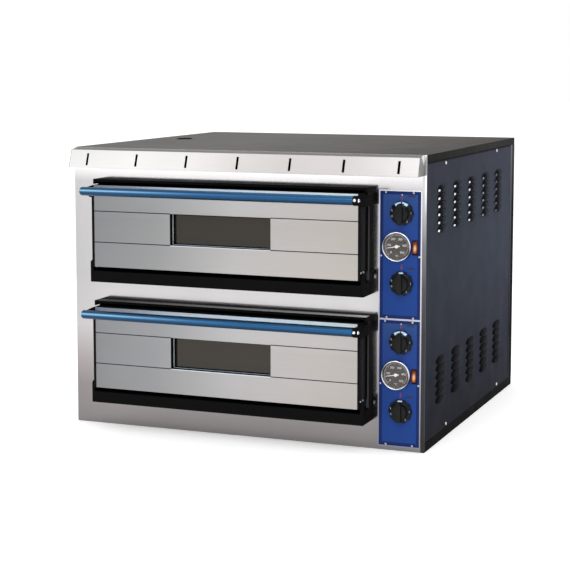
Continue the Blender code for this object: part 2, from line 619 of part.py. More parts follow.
def main():
    for obj in list(bpy.data.objects):
        bpy.data.objects.remove(obj, do_unlink=True)

    fascia_steel = material("fascia_steel", (0.62, 0.61, 0.61), 0.35, 1.0)
    hood_steel = material("hood_steel", (0.80, 0.79, 0.78), 0.35, 1.0)
    door_steel = material("door_steel", (0.50, 0.48, 0.45), 0.35, 1.0)
    liner_steel = material("liner_steel", (0.35, 0.34, 0.32), 0.45, 1.0)
    side_paint = material("side_paint", (0.045, 0.052, 0.070), 0.45, 0.0)
    lid_metal = material("lid_metal", (0.145, 0.142, 0.138), 0.50, 0.6)
    black_paint = material("black_paint", (0.010, 0.010, 0.011), 0.35, 0.0)
    panel_blue = material("panel_blue", (0.026, 0.066, 0.320), 0.40, 0.0)
    handle_blue = material("handle_blue", (0.020, 0.130, 0.300), 0.25, 1.0)
    knob_plastic = material("knob_plastic", (0.012, 0.012, 0.012), 0.40, 0.0)
    chrome = material("chrome", (0.80, 0.80, 0.80), 0.12, 1.0)
    needle_white = material("needle_white", (0.80, 0.80, 0.78), 0.50, 0.0)
    amber = material("amber", (0.80, 0.22, 0.04), 0.30, 0.0)
    glass = material("smoked_glass", (0.10, 0.09, 0.08), 0.08, 0.0)
    wool = material("mineral_wool", (0.65, 0.60, 0.48), 0.90, 0.0)
    stone = material("fire_clay", (0.62, 0.52, 0.40), 0.85, 0.0)
    sheath = material("element_sheath", (0.16, 0.15, 0.15), 0.50, 1.0)
    plated_steel = material("plated_steel", (0.60, 0.60, 0.58), 0.35, 1.0)
    lamp_glass = material("lamp_glass", (0.85, 0.82, 0.72), 0.15, 0.0)

    make_base_tray(black_paint)
    make_fascia(fascia_steel)
    make_side_panel("left_side_panel", -1, side_paint)
    make_side_panel("right_side_panel", 1, side_paint)
    make_back_panel(side_paint)
    make_cable_gland(knob_plastic)
    make_top_panel(lid_metal)
    make_steam_outlet(liner_steel)
    make_hood(hood_steel)

    for deck, lift in DECKS.items():
        make_chamber(deck, lift, liner_steel, wool, stone, sheath, lamp_glass)
        make_surround(deck, lift, black_paint)
        make_hinge_rod(deck, lift, plated_steel)
        make_door(deck, lift, black_paint, door_steel, liner_steel, wool, glass, handle_blue)
        door_parts = ("_door_frame", "_door_front_panel", "_door_insulation", "_door_inner_panel",
                      "_window_rim", "_door_glass", "_handle_bar", "_handle_arm_left",
                      "_handle_arm_right")
        hang_on_axis(deck + "_door_axis", (0.0, ahead(HINGE_REACH), HINGE_Z + lift),
                     [bpy.data.objects[deck + name] for name in door_parts])
        make_control_panel(deck, lift, panel_blue)
        for heat in KNOBS_Z:
            make_thermostat(deck, lift, heat, plated_steel)
            make_knob(deck, lift, heat, knob_plastic)
        make_thermometer(deck, lift, chrome, needle_white)
        make_rocker(deck, lift, amber)


main()
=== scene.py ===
"""Looks for the double-deck countertop pizza oven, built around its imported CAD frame.

Units are metres in the CAD's own frame: +Z is up, the doors face -Y, and the origin is the
centre of the underside. Every mesh here is written straight into that frame, so each object
stays at the origin. Both decks are made by the same functions.
"""
import math

import bmesh
import bpy
from mathutils import Matrix, Vector


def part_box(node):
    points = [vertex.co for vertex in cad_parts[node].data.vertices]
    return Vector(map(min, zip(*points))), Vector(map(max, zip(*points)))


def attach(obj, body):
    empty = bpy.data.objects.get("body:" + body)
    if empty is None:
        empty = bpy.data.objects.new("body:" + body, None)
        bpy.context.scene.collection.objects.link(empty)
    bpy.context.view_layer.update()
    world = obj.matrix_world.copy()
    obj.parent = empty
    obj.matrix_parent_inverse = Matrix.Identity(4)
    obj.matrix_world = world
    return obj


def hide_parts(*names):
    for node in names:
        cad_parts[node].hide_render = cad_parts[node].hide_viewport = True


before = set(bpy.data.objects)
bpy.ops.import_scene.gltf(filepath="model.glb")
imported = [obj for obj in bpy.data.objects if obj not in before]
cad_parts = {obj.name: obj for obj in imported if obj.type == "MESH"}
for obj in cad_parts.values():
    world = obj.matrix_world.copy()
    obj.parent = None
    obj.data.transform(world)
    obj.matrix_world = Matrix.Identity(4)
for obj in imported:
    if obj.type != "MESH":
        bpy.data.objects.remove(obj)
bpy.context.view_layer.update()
BODY = "oven_body"
DECKS = ("lower", "upper")
HEATS = ("floor_heat", "ceiling_heat")
DECK_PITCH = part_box("upper_door_glass")[0].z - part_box("lower_door_glass")[0].z
FRONT_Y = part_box("front_fascia")[0].y
BACK_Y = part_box("back_panel")[1].y
HALF_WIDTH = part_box("front_fascia")[1].x
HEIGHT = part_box("top_panel")[1].z
OVEN_SPAN = ((-HALF_WIDTH, HALF_WIDTH), (FRONT_Y, BACK_Y), (0.0, HEIGHT))
DOOR_LEFT, DOOR_RIGHT = -0.396, 0.336
HANDLE_LEFT, HANDLE_RIGHT = -0.42, 0.35
TAU = 2 * math.pi
EVEN = (1.0, 1.0, 1.0)        # the stretch of a noise that has none
WHITE = (1.0, 1.0, 1.0)
HINGE_BOLT_Z, DOOR_SCREW_Z, PANEL_SCREW_Z = 0.1275, 0.1310, 0.170      # on the lower deck


def lift(deck):
    return DECK_PITCH if deck == "upper" else 0.0


def ahead(reach):
    """The y of a point that lies `reach` in front of the fascia."""
    return FRONT_Y - reach


def middle_of(node):
    """The x and z of a node's centre."""
    low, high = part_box(node)
    return (low.x + high.x) / 2, (low.z + high.z) / 2


# --- Materials -------------------------------------------------------------------------

def set_stops(ramp, stops):
    """Fill a colour ramp; a stop's colour is three numbers, or one for a grey."""
    elements = ramp.color_ramp.elements
    while len(elements) < len(stops):
        elements.new(0.5)
    for element, (position, colour) in zip(elements, stops):
        element.position = position
        element.color = (*colour, 1.0) if isinstance(colour, tuple) else (colour, colour, colour, 1.0)


class Look:
    """A Principled material, with short ways to add the nodes that feed it."""

    def __init__(self, name, **sockets):
        self.mat = bpy.data.materials.new(name)
        self.mat.use_nodes = True
        self.tree = self.mat.node_tree
        self.shader = self.tree.nodes["Principled BSDF"]
        source = self.node("ShaderNodeTexCoord")
        self.place, self.normal = source.outputs["Object"], source.outputs["Normal"]
        for socket, value in sockets.items():
            self.set(socket.replace("_", " "), value)

    def node(self, kind, **settings):
        made = self.tree.nodes.new(kind)
        for key, value in settings.items():
            setattr(made, key, value)
        return made

    def feed(self, node, socket, value):
        """Give a socket a node's output, a colour or a number."""
        target = node.inputs[socket]
        if isinstance(value, bpy.types.NodeSocket):
            self.tree.links.new(value, target)
        elif isinstance(value, tuple):
            target.default_value = (*value, 1.0)
        else:
            target.default_value = value

    def set(self, socket, value):
        self.feed(self.shader, socket, value)

    def split(self, vector, axis):
        made = self.node("ShaderNodeSeparateXYZ")
        self.feed(made, 0, vector)
        return made.outputs[axis]

    def along(self, axis):
        """The place along X, Y or Z."""
        return self.split(self.place, axis)

    def facing(self, axis):
        """How far a face looks along X, Y or Z, in its own body's frame."""
        return self.split(self.normal, axis)

    def upward(self, low, high):
        """1 on faces that look up, 0 on the rest."""
        return self.spread(self.facing(2), low, high)

    def part(self, axis, low=None, high=None):
        """The place along an axis, 0 to 1 between two values or else across the oven."""
        if low is None:
            low, high = OVEN_SPAN[axis]
        return self.spread(self.along(axis), low, high)

    def math(self, operation, first, second=0.0):
        made = self.node("ShaderNodeMath", operation=operation)
        self.feed(made, 0, first)
        self.feed(made, 1, second)
        return made.outputs[0]

    def both(self, first, second):
        """Two masks at once."""
        return self.math("MULTIPLY", first, second)

    def spread(self, value, low, high, to_low=0.0, to_high=1.0):
        """Map a range of values to another range, and hold it at its ends."""
        made = self.node("ShaderNodeMapRange")
        for index, number in enumerate((value, low, high, to_low, to_high)):
            self.feed(made, index, number)
        return made.outputs[0]

    def near(self, value, centre, half, fade):
        """1 within `half` of a centre, and 0 from `fade` beyond that."""
        away = self.math("ABSOLUTE", self.math("SUBTRACT", value, centre))
        return self.spread(away, half, half + fade, 1.0, 0.0)

    def ellipse(self, *axes):
        """0 at a centre and 1 on an ellipse; each axis is its value, centre and half size."""
        total = None
        for value, centre, half in axes:
            ratio = self.math("DIVIDE", self.math("SUBTRACT", value, centre), half)
            square = self.math("MULTIPLY", ratio, ratio)
            total = square if total is None else self.math("ADD", total, square)
        return total

    def ramp(self, value, stops):
        made = self.node("ShaderNodeValToRGB")
        set_stops(made, stops)
        self.feed(made, 0, value)
        return made.outputs[0]

    def fade(self, axis, stops, low=None, high=None):
        """A colour that changes along an axis."""
        return self.ramp(self.part(axis, low, high), stops)

    def mix(self, factor, first, second, blend="MIX"):
        made = self.node("ShaderNodeMix", data_type="RGBA", blend_type=blend)
        self.feed(made, 0, factor)
        self.feed(made, 6, first)
        self.feed(made, 7, second)
        return made.outputs[2]

    def tint(self, first, second):
        """One colour multiplied by another."""
        return self.mix(1.0, first, second, "MULTIPLY")

    def noise(self, scale, detail=2.0, stretch=EVEN):
        mapping = self.node("ShaderNodeMapping")
        mapping.inputs["Scale"].default_value = stretch
        self.feed(mapping, "Vector", self.place)
        made = self.node("ShaderNodeTexNoise")
        self.feed(made, "Scale", scale)
        self.feed(made, "Detail", detail)
        self.feed(made, "Vector", mapping.outputs[0])
        return made.outputs["Fac"]

    def drift(self, low, high, noise):
        """A number that wanders between two values with a noise."""
        return self.spread(noise, 0.3, 0.7, low, high)

    def rough(self, low, high, scale, detail=2.0, stretch=EVEN):
        """Let the roughness wander between two values."""
        self.set("Roughness", self.drift(low, high, self.noise(scale, detail, stretch)))

    def paint(self, colour, amount, scale, detail=3.0, stretch=EVEN):
        """Base colour with a grain that goes a little above and below it."""
        grain = self.noise(scale, detail, stretch)
        self.set("Base Color", self.tint(colour, self.ramp(grain, ((0.30, 1 - amount), (0.70, 1 + amount)))))

    def bump(self, height, strength, distance):
        made = self.node("ShaderNodeBump")
        self.feed(made, "Strength", strength)
        self.feed(made, "Distance", distance)
        self.feed(made, "Height", height)
        self.set("Normal", made.outputs[0])


def brushed(name, colour, roughness, stretch, grain, anisotropic=0.4, metallic=1.0, depth=0.02):
    """Steel with long brushing marks; `stretch` is small along the brushing."""
    look = Look(name, Metallic=metallic, Anisotropic=anisotropic)
    look.paint(colour(look), grain, 900.0, 4.0, stretch)
    marks = look.noise(600.0, 3.0, stretch)
    smears = look.drift(roughness - 0.02, roughness + 0.02, look.noise(9.0))
    look.set("Roughness", look.math("ADD", look.drift(-0.03, 0.03, marks), smears))
    if depth:
        look.bump(marks, depth, 0.0003)
    return look.mat


def painted(name, colour, roughness, grain, peel, gloss):
    """Sprayed paint or powder coat with a fine orange peel."""
    look = Look(name, Specular_IOR_Level=gloss)
    look.paint(colour(look) if callable(colour) else colour, grain, 260.0)
    look.rough(roughness - 0.05, roughness + 0.05, 14.0, 3.0)
    look.bump(look.noise(1300.0), peel, 0.0006)
    return look.mat


def plain(name, colour, grain, rough, bump=None, **sockets):
    """One colour with a grain, a wandering roughness and perhaps a bump.

    grain is an amount and a noise, rough two values and a noise, and bump a noise, its
    strength and its distance; a noise is its scale, detail and stretch.
    """
    look = Look(name, **sockets)
    look.paint(colour, *grain)
    look.rough(*rough)
    if bump:
        noise, strength, distance = bump
        look.bump(look.noise(*noise), strength, distance)
    return look.mat


def fascia_painted_reflection(look):
    """Painted reflection and shade on brushed steel: pale at the top and darker towards the counter, lighter
    across the middle, the right edge darkening early, and a painted highlight down the fold.
    """
    height = look.part(2)
    shade = look.ramp(height, (
        (0.04, (0.228, 0.211, 0.212)), (0.14, (0.232, 0.213, 0.214)), (0.24, (0.320, 0.292, 0.295)),
        (0.36, (0.455, 0.438, 0.442)), (0.55, (0.448, 0.441, 0.448)), (0.88, (0.555, 0.542, 0.548)),
        (0.93, (0.920, 0.900, 0.908))))
    # painted light: lighter across the middle of the width
    side = look.fade(0, ((0.0, 0.98), (0.05, 1.02), (0.13, 1.08), (0.50, 1.08), (0.84, 1.06),
                         (0.88, 0.97), (1.0, 0.98)))
    # painted reflection down the right edge strip: pale high up, dark low down
    edge = look.ramp(height, (
        (0.05, (0.036, 0.037, 0.039)), (0.40, (0.042, 0.040, 0.043)), (0.55, (0.078, 0.075, 0.077)),
        (0.70, (0.190, 0.186, 0.192)), (0.81, (0.44, 0.44, 0.46)), (0.88, (0.60, 0.60, 0.62)),
        (0.94, (0.64, 0.64, 0.65))))
    shade = look.mix(look.part(0, HALF_WIDTH - 0.0115, HALF_WIDTH - 0.0085), look.tint(shade, side), edge)
    # painted highlight: a white line down the fold at the right edge
    fold_highlight = look.both(look.part(0, HALF_WIDTH - 0.0048, HALF_WIDTH - 0.0034), look.spread(height, 0.80, 0.90))
    return look.mix(fold_highlight, shade, WHITE)


def make_fascia_steel():
    return brushed("fascia_steel", fascia_painted_reflection, 0.14, (1.0, 1.0, 0.01), 0.015, 0.0, depth=0.0)


def make_hood_steel():
    """Painted reflection, bright on the left and duller on the right, and painted shade that darkens the
    top.
    """
    def colour(look):
        face = look.fade(0, (
            (0.0, (0.78, 0.78, 0.77)), (0.20, (0.77, 0.76, 0.75)), (0.35, (0.68, 0.66, 0.66)),
            (0.50, (0.51, 0.49, 0.48)), (0.62, (0.42, 0.40, 0.39)), (0.80, (0.37, 0.35, 0.35)),
            (1.0, (0.40, 0.39, 0.39))))
        # painted shade on the upward faces
        return look.mix(look.upward(0.55, 0.80), face, (0.085, 0.083, 0.080))
    return brushed("hood_steel", colour, 0.38, (0.02, 1.0, 1.0), 0.02)


def make_hood_end_steel():
    """Cheek plates of the hood, with a painted reflection: dull at the front, bright in the upper rear
    corner.
    """
    low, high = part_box("front_hood")

    def colour(look):
        place = look.math("ADD", look.spread(look.along(1), low.y, high.y, 0.0, 0.5),
                          look.spread(look.along(2), low.z, high.z, 0.0, 0.5))
        return look.ramp(place, ((0.0, (0.26, 0.255, 0.25)), (0.35, (0.145, 0.140, 0.138)),
                                 (0.72, (0.21, 0.205, 0.20)), (0.80, 0.86)))
    return brushed("hood_end_steel", colour, 0.40, (1.0, 1.0, 0.02), 0.02, metallic=0.6)


def make_door_steel(deck):
    """Horizontal brushing with dark seams; the darker left, warmer right and bluish top are painted
    reflection, the lower door's duller top is painted shade, and the lip under the window a painted
    highlight.
    """
    low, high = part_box(deck + "_door_front_panel")
    rim_low, rim_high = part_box(deck + "_window_rim")
    lap = 0.008                   # from the rim's outer edge to the pane
    middle, half = (rim_low.x + rim_high.x) / 2, (rim_high.x - rim_low.x) / 2 - lap

    def colour(look):
        # painted reflection: darker on the left, warmer on the right
        shade = look.fade(0, (
            (0.0, (0.232, 0.236, 0.240)), (0.25, (0.285, 0.287, 0.290)), (0.55, (0.425, 0.415, 0.411)),
            (0.80, (0.445, 0.415, 0.399)), (1.0, (0.424, 0.396, 0.371))), low.x, high.x)
        height = look.part(2, low.z, high.z)
        # painted reflection: bluish near the top
        bluish_reflection = look.ramp(height, (
            (0.0, 1.0), (0.60, 1.0), (0.85, (1.10, 1.12, 1.14)), (0.97, (1.12, 1.18, 1.25))))
        shade = look.tint(shade, bluish_reflection)
        if deck == "lower":
            # painted shade: the lower door is duller near its top
            top_shade = look.ramp(height, ((0.70, (0.90, 0.90, 0.91)), (0.95, (0.82, 0.82, 0.83))))
            shade = look.tint(shade, top_shade)
        within = look.near(look.along(0), middle, half - 0.0003, 0.0006)
        beside = look.math("SUBTRACT", 1.0, within)
        for z in (rim_low.z + lap, rim_high.z - lap):
            seam = look.both(look.near(look.along(2), z, 0.0009, 0.0006), beside)
            shade = look.mix(seam, shade, (0.024, 0.034, 0.054))
        # painted highlight along the lip under the window
        lip_highlight = look.both(look.near(look.along(2), rim_low.z + lap, 0.0012, 0.0008), within)
        return look.mix(lip_highlight, shade, (0.66, 0.72, 0.78))
    return brushed(deck + "_door_steel", colour, 0.32, (0.010, 1.0, 1.0), 0.018, 0.55)


def make_trim_steel():
    """Rim of the control panels with a painted reflection: bright at the top, darker towards the counter."""
    return brushed("trim_steel", lambda look: look.fade(2, (
        (0.0, (0.20, 0.21, 0.27)), (0.20, (0.30, 0.31, 0.37)), (0.45, (0.50, 0.52, 0.58)),
        (0.9, (0.80, 0.81, 0.85)))), 0.45, (0.05, 1.0, 0.05), 0.01, metallic=0.4)


def make_bead_steel():
    """Bead round a window; its sill has a painted reflection of the blue dark of the pane."""
    def colour(look):
        return look.mix(look.upward(0.5, 0.9), (0.62, 0.70, 0.78), (0.055, 0.130, 0.170))
    return brushed("bead_steel", colour, 0.40, (1.0, 1.0, 0.03), 0.02, metallic=0.4)


def make_strip_steel():
    """Polished strip along a door's top edge; its dark left and bright bluish right are a painted
    reflection.
    """
    look = Look("strip_steel", Metallic=0.55, Anisotropic=0.4)
    stretch = (0.02, 1.0, 1.0)
    colour = look.fade(0, (
        (0.0, (0.28, 0.32, 0.38)), (0.14, (0.36, 0.39, 0.47)), (0.32, (0.64, 0.74, 0.84)),
        (0.60, (0.74, 0.87, 0.98)), (1.0, (0.84, 0.97, 1.0))), DOOR_LEFT, DOOR_RIGHT)
    look.paint(colour, 0.04, 700.0, 3.0, stretch)
    look.rough(0.30, 0.40, 500.0, 3.0, stretch)
    return look.mat


def make_side_paint():
    """Dark blue-grey powder coat with painted shade: a little lighter in the middle of its height, darker
    towards the front, and a painted shadow line under the lid.
    """
    def colour(look):
        # painted shade: lighter mid-height, and a painted shadow line under the lid at the top
        shade = look.fade(2, (
            (0.02, (0.0120, 0.0115, 0.0190)), (0.25, (0.0180, 0.0205, 0.0320)),
            (0.60, (0.0320, 0.0390, 0.0550)), (0.967, (0.0350, 0.0395, 0.0545)),
            (0.971, (0.0030, 0.0030, 0.0045))))
        # painted shade: darker towards the front
        front = look.fade(1, ((0.05, 0.78), (0.30, 0.82), (0.85, (1.12, 1.10, 1.12))))
        return look.tint(shade, front)
    return painted("side_paint", colour, 0.55, 0.04, 0.10, 0.01)


def make_louvre_paint():
    """Painted shade on the pressed hoods, darker than the panel and darkest low down, and a near black
    painted shadow in the mouth at the lower front of each.
    """
    def colour(look):
        along, drop = (look.node("ShaderNodeAttribute", attribute_name=name).outputs["Fac"]
                       for name in ("along", "drop"))
        body = look.fade(2, (
            (0.15, (0.0045, 0.0050, 0.0090)), (0.45, (0.0070, 0.0080, 0.0140)),
            (0.75, (0.0200, 0.0240, 0.0350)), (0.95, (0.0210, 0.0250, 0.0360))))
        # painted shadow in the mouth at the lower front of each hood
        away = look.ellipse((along, 0.24, 0.26), (drop, 0.62, 0.62))
        return look.mix(look.spread(away, 0.45, 1.1, 1.0, 0.0), body, (0.0008, 0.0008, 0.0014))
    return painted("louvre_paint", colour, 0.50, 0.06, 0.10, 0.01)


def make_glint():
    """Painted glints on the upper louvres, duller towards the back."""
    look = Look("louvre_painted_glint", Roughness=0.3, Specular_IOR_Level=0.12)
    look.set("Base Color", look.fade(1, (
        (0.0, (0.82, 0.84, 0.88)), (0.52, (0.62, 0.64, 0.70)), (0.72, (0.17, 0.18, 0.22)),
        (0.95, (0.040, 0.044, 0.060))), FRONT_Y + 0.10, FRONT_Y + 0.70))
    return look.mat


def make_corner_paint():
    """Dark strip down the rear corner, with painted shade that blackens it towards the counter."""
    return painted("corner_paint", lambda look: look.fade(2, (
        (0.40, (0.0015, 0.0015, 0.0020)), (0.75, (0.004, 0.004, 0.006)),
        (1.0, (0.050, 0.050, 0.058)))), 0.50, 0.04, 0.10, 0.004)


def make_seam_paint():
    """Painted highlight along the folded corner, which fades towards the counter."""
    return painted("seam_painted_highlight", lambda look: look.fade(2, (
        (0.25, (0.012, 0.012, 0.016)), (0.55, (0.034, 0.036, 0.046)), (0.80, (0.080, 0.082, 0.096)),
        (1.0, (0.125, 0.127, 0.145)))), 0.50, 0.04, 0.10, 0.01)


def make_lid_metal():
    """Dull grey lid with painted shade: darker towards the right, and its side flanges nearly black."""
    def colour(look):
        clouds = look.ramp(look.noise(3.0, 3.0), ((0.3, (0.122, 0.119, 0.115)),
                                                  (0.7, (0.138, 0.135, 0.130))))
        # painted shade: darker towards the right
        across = look.fade(0, (
            (0.0, 0.82), (0.35, 0.80), (0.70, (0.66, 0.64, 0.64)), (1.0, (0.46, 0.44, 0.43))))
        flange_shade = look.fade(1, (
            (0.0, (0.0120, 0.0112, 0.0112)), (0.30, (0.0180, 0.0170, 0.0165)),
            (0.75, (0.0270, 0.0255, 0.0250)), (1.0, (0.0220, 0.0220, 0.0230))))
        return look.mix(look.upward(0.5, 0.9), flange_shade, look.tint(clouds, across))
    return painted("lid_metal", colour, 0.62, 0.03, 0.04, 0.012)


def make_black_paint():
    return painted("black_paint", (0.0045, 0.0045, 0.0046), 0.50, 0.10, 0.10, 0.004)


ENAMEL_BLACK = (0.0055, 0.0055, 0.0058)


def make_black_enamel(name="black_enamel", colour=ENAMEL_BLACK, gloss=0.004):
    return painted(name, colour, 0.40, 0.08, 0.05, gloss)


def door_black(look):
    """Black, with a painted sheen as a lighter band down the end plates behind their front edge."""
    black = (0.0065, 0.0065, 0.0072)
    # painted sheen on the end plates' faces
    end = look.spread(look.math("ABSOLUTE", look.facing(0)), 0.6, 0.9)
    end_plate_sheen = look.fade(1, (
        (0.10, (0.0050, 0.0050, 0.0056)), (0.35, (0.0170, 0.0170, 0.0180)),
        (0.85, (0.0210, 0.0210, 0.0220)), (1.0, black)), ahead(0.066), ahead(0.026))
    return look.mix(end, black, end_plate_sheen)


def make_surround_black(deck):
    """Black enamel, with a painted highlight along the cheeks' front edges and a painted reflection along
    the lower deck's brow.
    """
    low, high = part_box(deck + "_door_surround")

    def colour(look):
        # painted highlight: a lighter line down the cheeks' front faces
        forward = look.spread(look.facing(1), -0.95, -0.6, 1.0, 0.0)
        cheek = look.both(forward, look.near(look.along(1), ahead(0.0205), 0.002, 0.001))
        shade = look.mix(cheek, ENAMEL_BLACK, (0.050, 0.050, 0.053))
        if deck == "upper":
            return shade
        # painted reflection of the fascia on the lower brow's top face, brighter to the right
        front = look.spread(look.along(1), low.y + 0.042, low.y + 0.052, 1.0, 0.0)
        brow_reflection = look.both(look.both(front, look.upward(0.5, 0.9)),
                         look.part(2, high.z - 0.004, high.z - 0.003))
        edge = look.fade(0, (
            (0.05, 0.10), (0.25, 0.20), (0.80, (0.42, 0.42, 0.43)), (1.0, (0.62, 0.62, 0.63))),
            low.x, high.x)
        return look.mix(brow_reflection, shade, edge)
    return make_black_enamel(deck + "_surround_black", colour)


def make_panel_blue(deck):
    """Screen-printed plate: a navy border round a brighter blue field."""
    low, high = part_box(deck + "_control_panel")
    border, fade = 0.0085, 0.0004

    def colour(look):
        masks = []
        for axis in (0, 2):
            middle, half = (low[axis] + high[axis]) / 2, (high[axis] - low[axis]) / 2
            masks.append(look.near(look.along(axis), middle, half - border - fade, fade))
        field = look.fade(2, (
            (0.0, (0.011, 0.045, 0.205)), (0.35, (0.011, 0.045, 0.215)),
            (0.75, (0.015, 0.047, 0.210)), (0.97, (0.023, 0.062, 0.195))), low.z, high.z)
        return look.mix(look.both(*masks), (0.008, 0.019, 0.105), field)
    return painted(deck + "_panel_blue", colour, 0.42, 0.03, 0.03, 0.10)


def make_handle_blue():
    """Anodised tube with painted light: darker upper and lower sides, and a painted highlight streak along
    its middle that fades to the right.
    """
    look = Look("handle_blue", Metallic=0.85, Coat_Weight=0.10, Coat_Roughness=0.10)
    stretch = (0.03, 1.0, 1.0)
    turn = look.upward(-1.0, 1.0)
    highlight_turn = 0.63
    # painted shade on the upper and lower sides of the tube
    body = look.ramp(turn, (
        (0.0, (0.004, 0.025, 0.060)), (0.30, (0.006, 0.042, 0.104)), (0.50, (0.014, 0.085, 0.195)),
        (highlight_turn, (0.024, 0.122, 0.285)), (0.78, (0.010, 0.071, 0.170)), (1.0, (0.006, 0.041, 0.098))))
    # painted highlight streak, fading to the right
    highlight_streak = look.fade(0, (
        (0.0, (0.32, 0.58, 0.80)), (0.14, (0.27, 0.53, 0.77)), (0.28, (0.15, 0.34, 0.58)),
        (0.44, (0.055, 0.17, 0.37)), (0.62, (0.025, 0.110, 0.262))), HANDLE_LEFT, HANDLE_RIGHT)
    look.paint(look.mix(look.near(turn, highlight_turn, 0.02, 0.13), body, highlight_streak), 0.04, 500.0, 2.0, stretch)
    look.rough(0.20, 0.28, 500.0, 3.0, stretch)
    return look.mat


def make_chrome():
    look = Look("chrome", Metallic=1.0, Base_Color=(0.86, 0.87, 0.88))
    look.rough(0.08, 0.16, 60.0, 3.0)
    return look.mat


def make_bezel_chrome(deck):
    """Chrome ring with a painted reflection: bright over its crown and foot, darker on its flanks."""
    low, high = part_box(deck + "_thermometer")
    middle, radius = (low + high) / 2, (high.z - low.z) / 2
    look = Look(deck + "_bezel_chrome", Metallic=1.0)
    # painted reflection, set by place round the ring
    across = look.math("MULTIPLY", look.math("SUBTRACT", look.along(0), middle.x), 0.40 / radius)
    upward = look.math("MULTIPLY", look.math("SUBTRACT", look.along(2), middle.z), 0.92 / radius)
    place = look.math("ABSOLUTE", look.math("ADD", across, upward))
    look.set("Base Color", look.ramp(place, ((0.10, (0.16, 0.16, 0.17)), (0.35, (0.42, 0.43, 0.45)),
                                             (0.62, (0.90, 0.92, 0.96)), (1.0, (0.80, 0.82, 0.86)))))
    look.rough(0.14, 0.22, 60.0, 3.0)
    return look.mat


def make_zinc():
    """Plated screws and shafts."""
    return plain("zinc_plate", (0.58, 0.58, 0.62), (0.10, 400.0), (0.22, 0.36, 300.0), Metallic=1.0)


def make_plastic(name="black_plastic", colour=(0.0050, 0.0056, 0.0050), roughness=0.34, gloss=0.16):
    return plain(name, colour, (0.12, 500.0), (roughness - 0.05, roughness + 0.05, 40.0, 3.0),
                 ((2500.0,), 0.08, 0.0003), Specular_IOR_Level=gloss)


def make_ink(name, colour, roughness=0.5):
    """Printed marks, with ink that lies a little unevenly."""
    return plain(name, colour, (0.05, 900.0), (roughness - 0.06, roughness + 0.06, 800.0))


def make_amber(deck):
    """Lit amber plastic with the lamp's bright spot behind its lower half."""
    low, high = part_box(deck + "_power_rocker")
    look = Look(deck + "_amber_plastic", Roughness=0.30, Specular_IOR_Level=0.15, Emission_Strength=0.7)
    away = look.ellipse((look.along(0), (low.x + high.x) / 2, 0.0036),
                        (look.along(2), low.z + (high.z - low.z) * 0.45, 0.0085))
    look.paint((0.090, 0.018, 0.006), 0.10, 300.0)
    look.set("Emission Color", look.ramp(look.spread(away, 0.0, 3.2), (
        (0.0, (1.0, 0.80, 0.62)), (0.16, (0.85, 0.45, 0.24)), (0.42, (0.34, 0.11, 0.035)),
        (0.75, (0.12, 0.025, 0.008)), (1.0, (0.04, 0.006, 0.003)))))
    return look.mat


def make_dial_face():
    return plain("dial_face", (0.070, 0.060, 0.052), (0.10, 500.0), (0.45, 0.60, 200.0))


def make_clear_glass():
    look = Look("dial_glass", Transmission_Weight=1.0, IOR=1.12, Base_Color=WHITE)
    look.rough(0.0, 0.03, 30.0)
    return look.mat


def make_smoked_glass():
    look = Look("smoked_glass", Transmission_Weight=0.35, IOR=1.5, Specular_IOR_Level=0.42,
                Specular_Tint=(1.0, 0.94, 0.86))
    look.set("Base Color", look.ramp(look.noise(5.0), ((0.3, (0.016, 0.014, 0.010)),
                                                       (0.7, (0.022, 0.016, 0.013)))))
    look.rough(0.03, 0.09, 25.0)
    return look.mat


def make_liner_steel():
    """Chamber and inner door steel, browned in patches by heat."""
    def colour(look):
        return look.ramp(look.noise(7.0, 4.0), ((0.30, (0.36, 0.33, 0.29)), (0.55, (0.47, 0.45, 0.42)),
                                                (0.75, (0.40, 0.33, 0.25))))
    return brushed("liner_steel", colour, 0.38, (0.03, 0.03, 1.0), 0.06)


def make_stone():
    """Fire clay: sandy, with pores and a few scorched patches."""
    look = Look("fire_clay")
    sand = look.ramp(look.noise(55.0, 6.0), ((0.25, (0.40, 0.32, 0.23)), (0.75, (0.60, 0.51, 0.39))))
    scorch = look.ramp(look.noise(6.0, 3.0), ((0.50, 1.0), (0.72, (0.55, 0.48, 0.42))))
    look.set("Base Color", look.tint(sand, scorch))
    look.rough(0.80, 0.95, 80.0)
    look.bump(look.noise(420.0, 5.0), 0.5, 0.0012)
    return look.mat


def make_wool():
    return plain("mineral_wool", (0.55, 0.49, 0.34), (0.25, 160.0, 5.0, (1.0, 1.0, 0.3)),
                 (0.85, 1.0, 90.0), ((300.0, 5.0, (1.0, 1.0, 0.25)), 0.8, 0.003))


def make_sheath():
    look = Look("element_sheath", Metallic=0.8)
    look.set("Base Color", look.ramp(look.noise(20.0, 4.0), ((0.3, (0.10, 0.09, 0.085)),
                                                            (0.7, (0.21, 0.17, 0.14)))))
    look.rough(0.45, 0.65, 300.0)
    return look.mat


def make_lamp_glass():
    return plain("lamp_glass", (0.80, 0.76, 0.66), (0.08, 120.0), (0.15, 0.30, 50.0),
                 Transmission_Weight=0.5, IOR=1.45)


def make_gasket():
    """Woven glass-fibre rope, pressed flat."""
    look = Look("gasket_rope")
    weave = look.node("ShaderNodeTexWave", wave_type="BANDS", bands_direction="DIAGONAL")
    look.feed(weave, "Vector", look.place)
    look.feed(weave, "Scale", 260.0)
    look.feed(weave, "Distortion", 1.2)
    bands = weave.outputs["Fac"]
    look.set("Base Color", look.ramp(bands, ((0.2, (0.16, 0.15, 0.13)), (0.8, (0.34, 0.32, 0.28)))))
    look.rough(0.80, 0.95, 200.0)
    look.bump(bands, 0.5, 0.0006)
    return look.mat


# --- Shapes ----------------------------------------------------------------------------

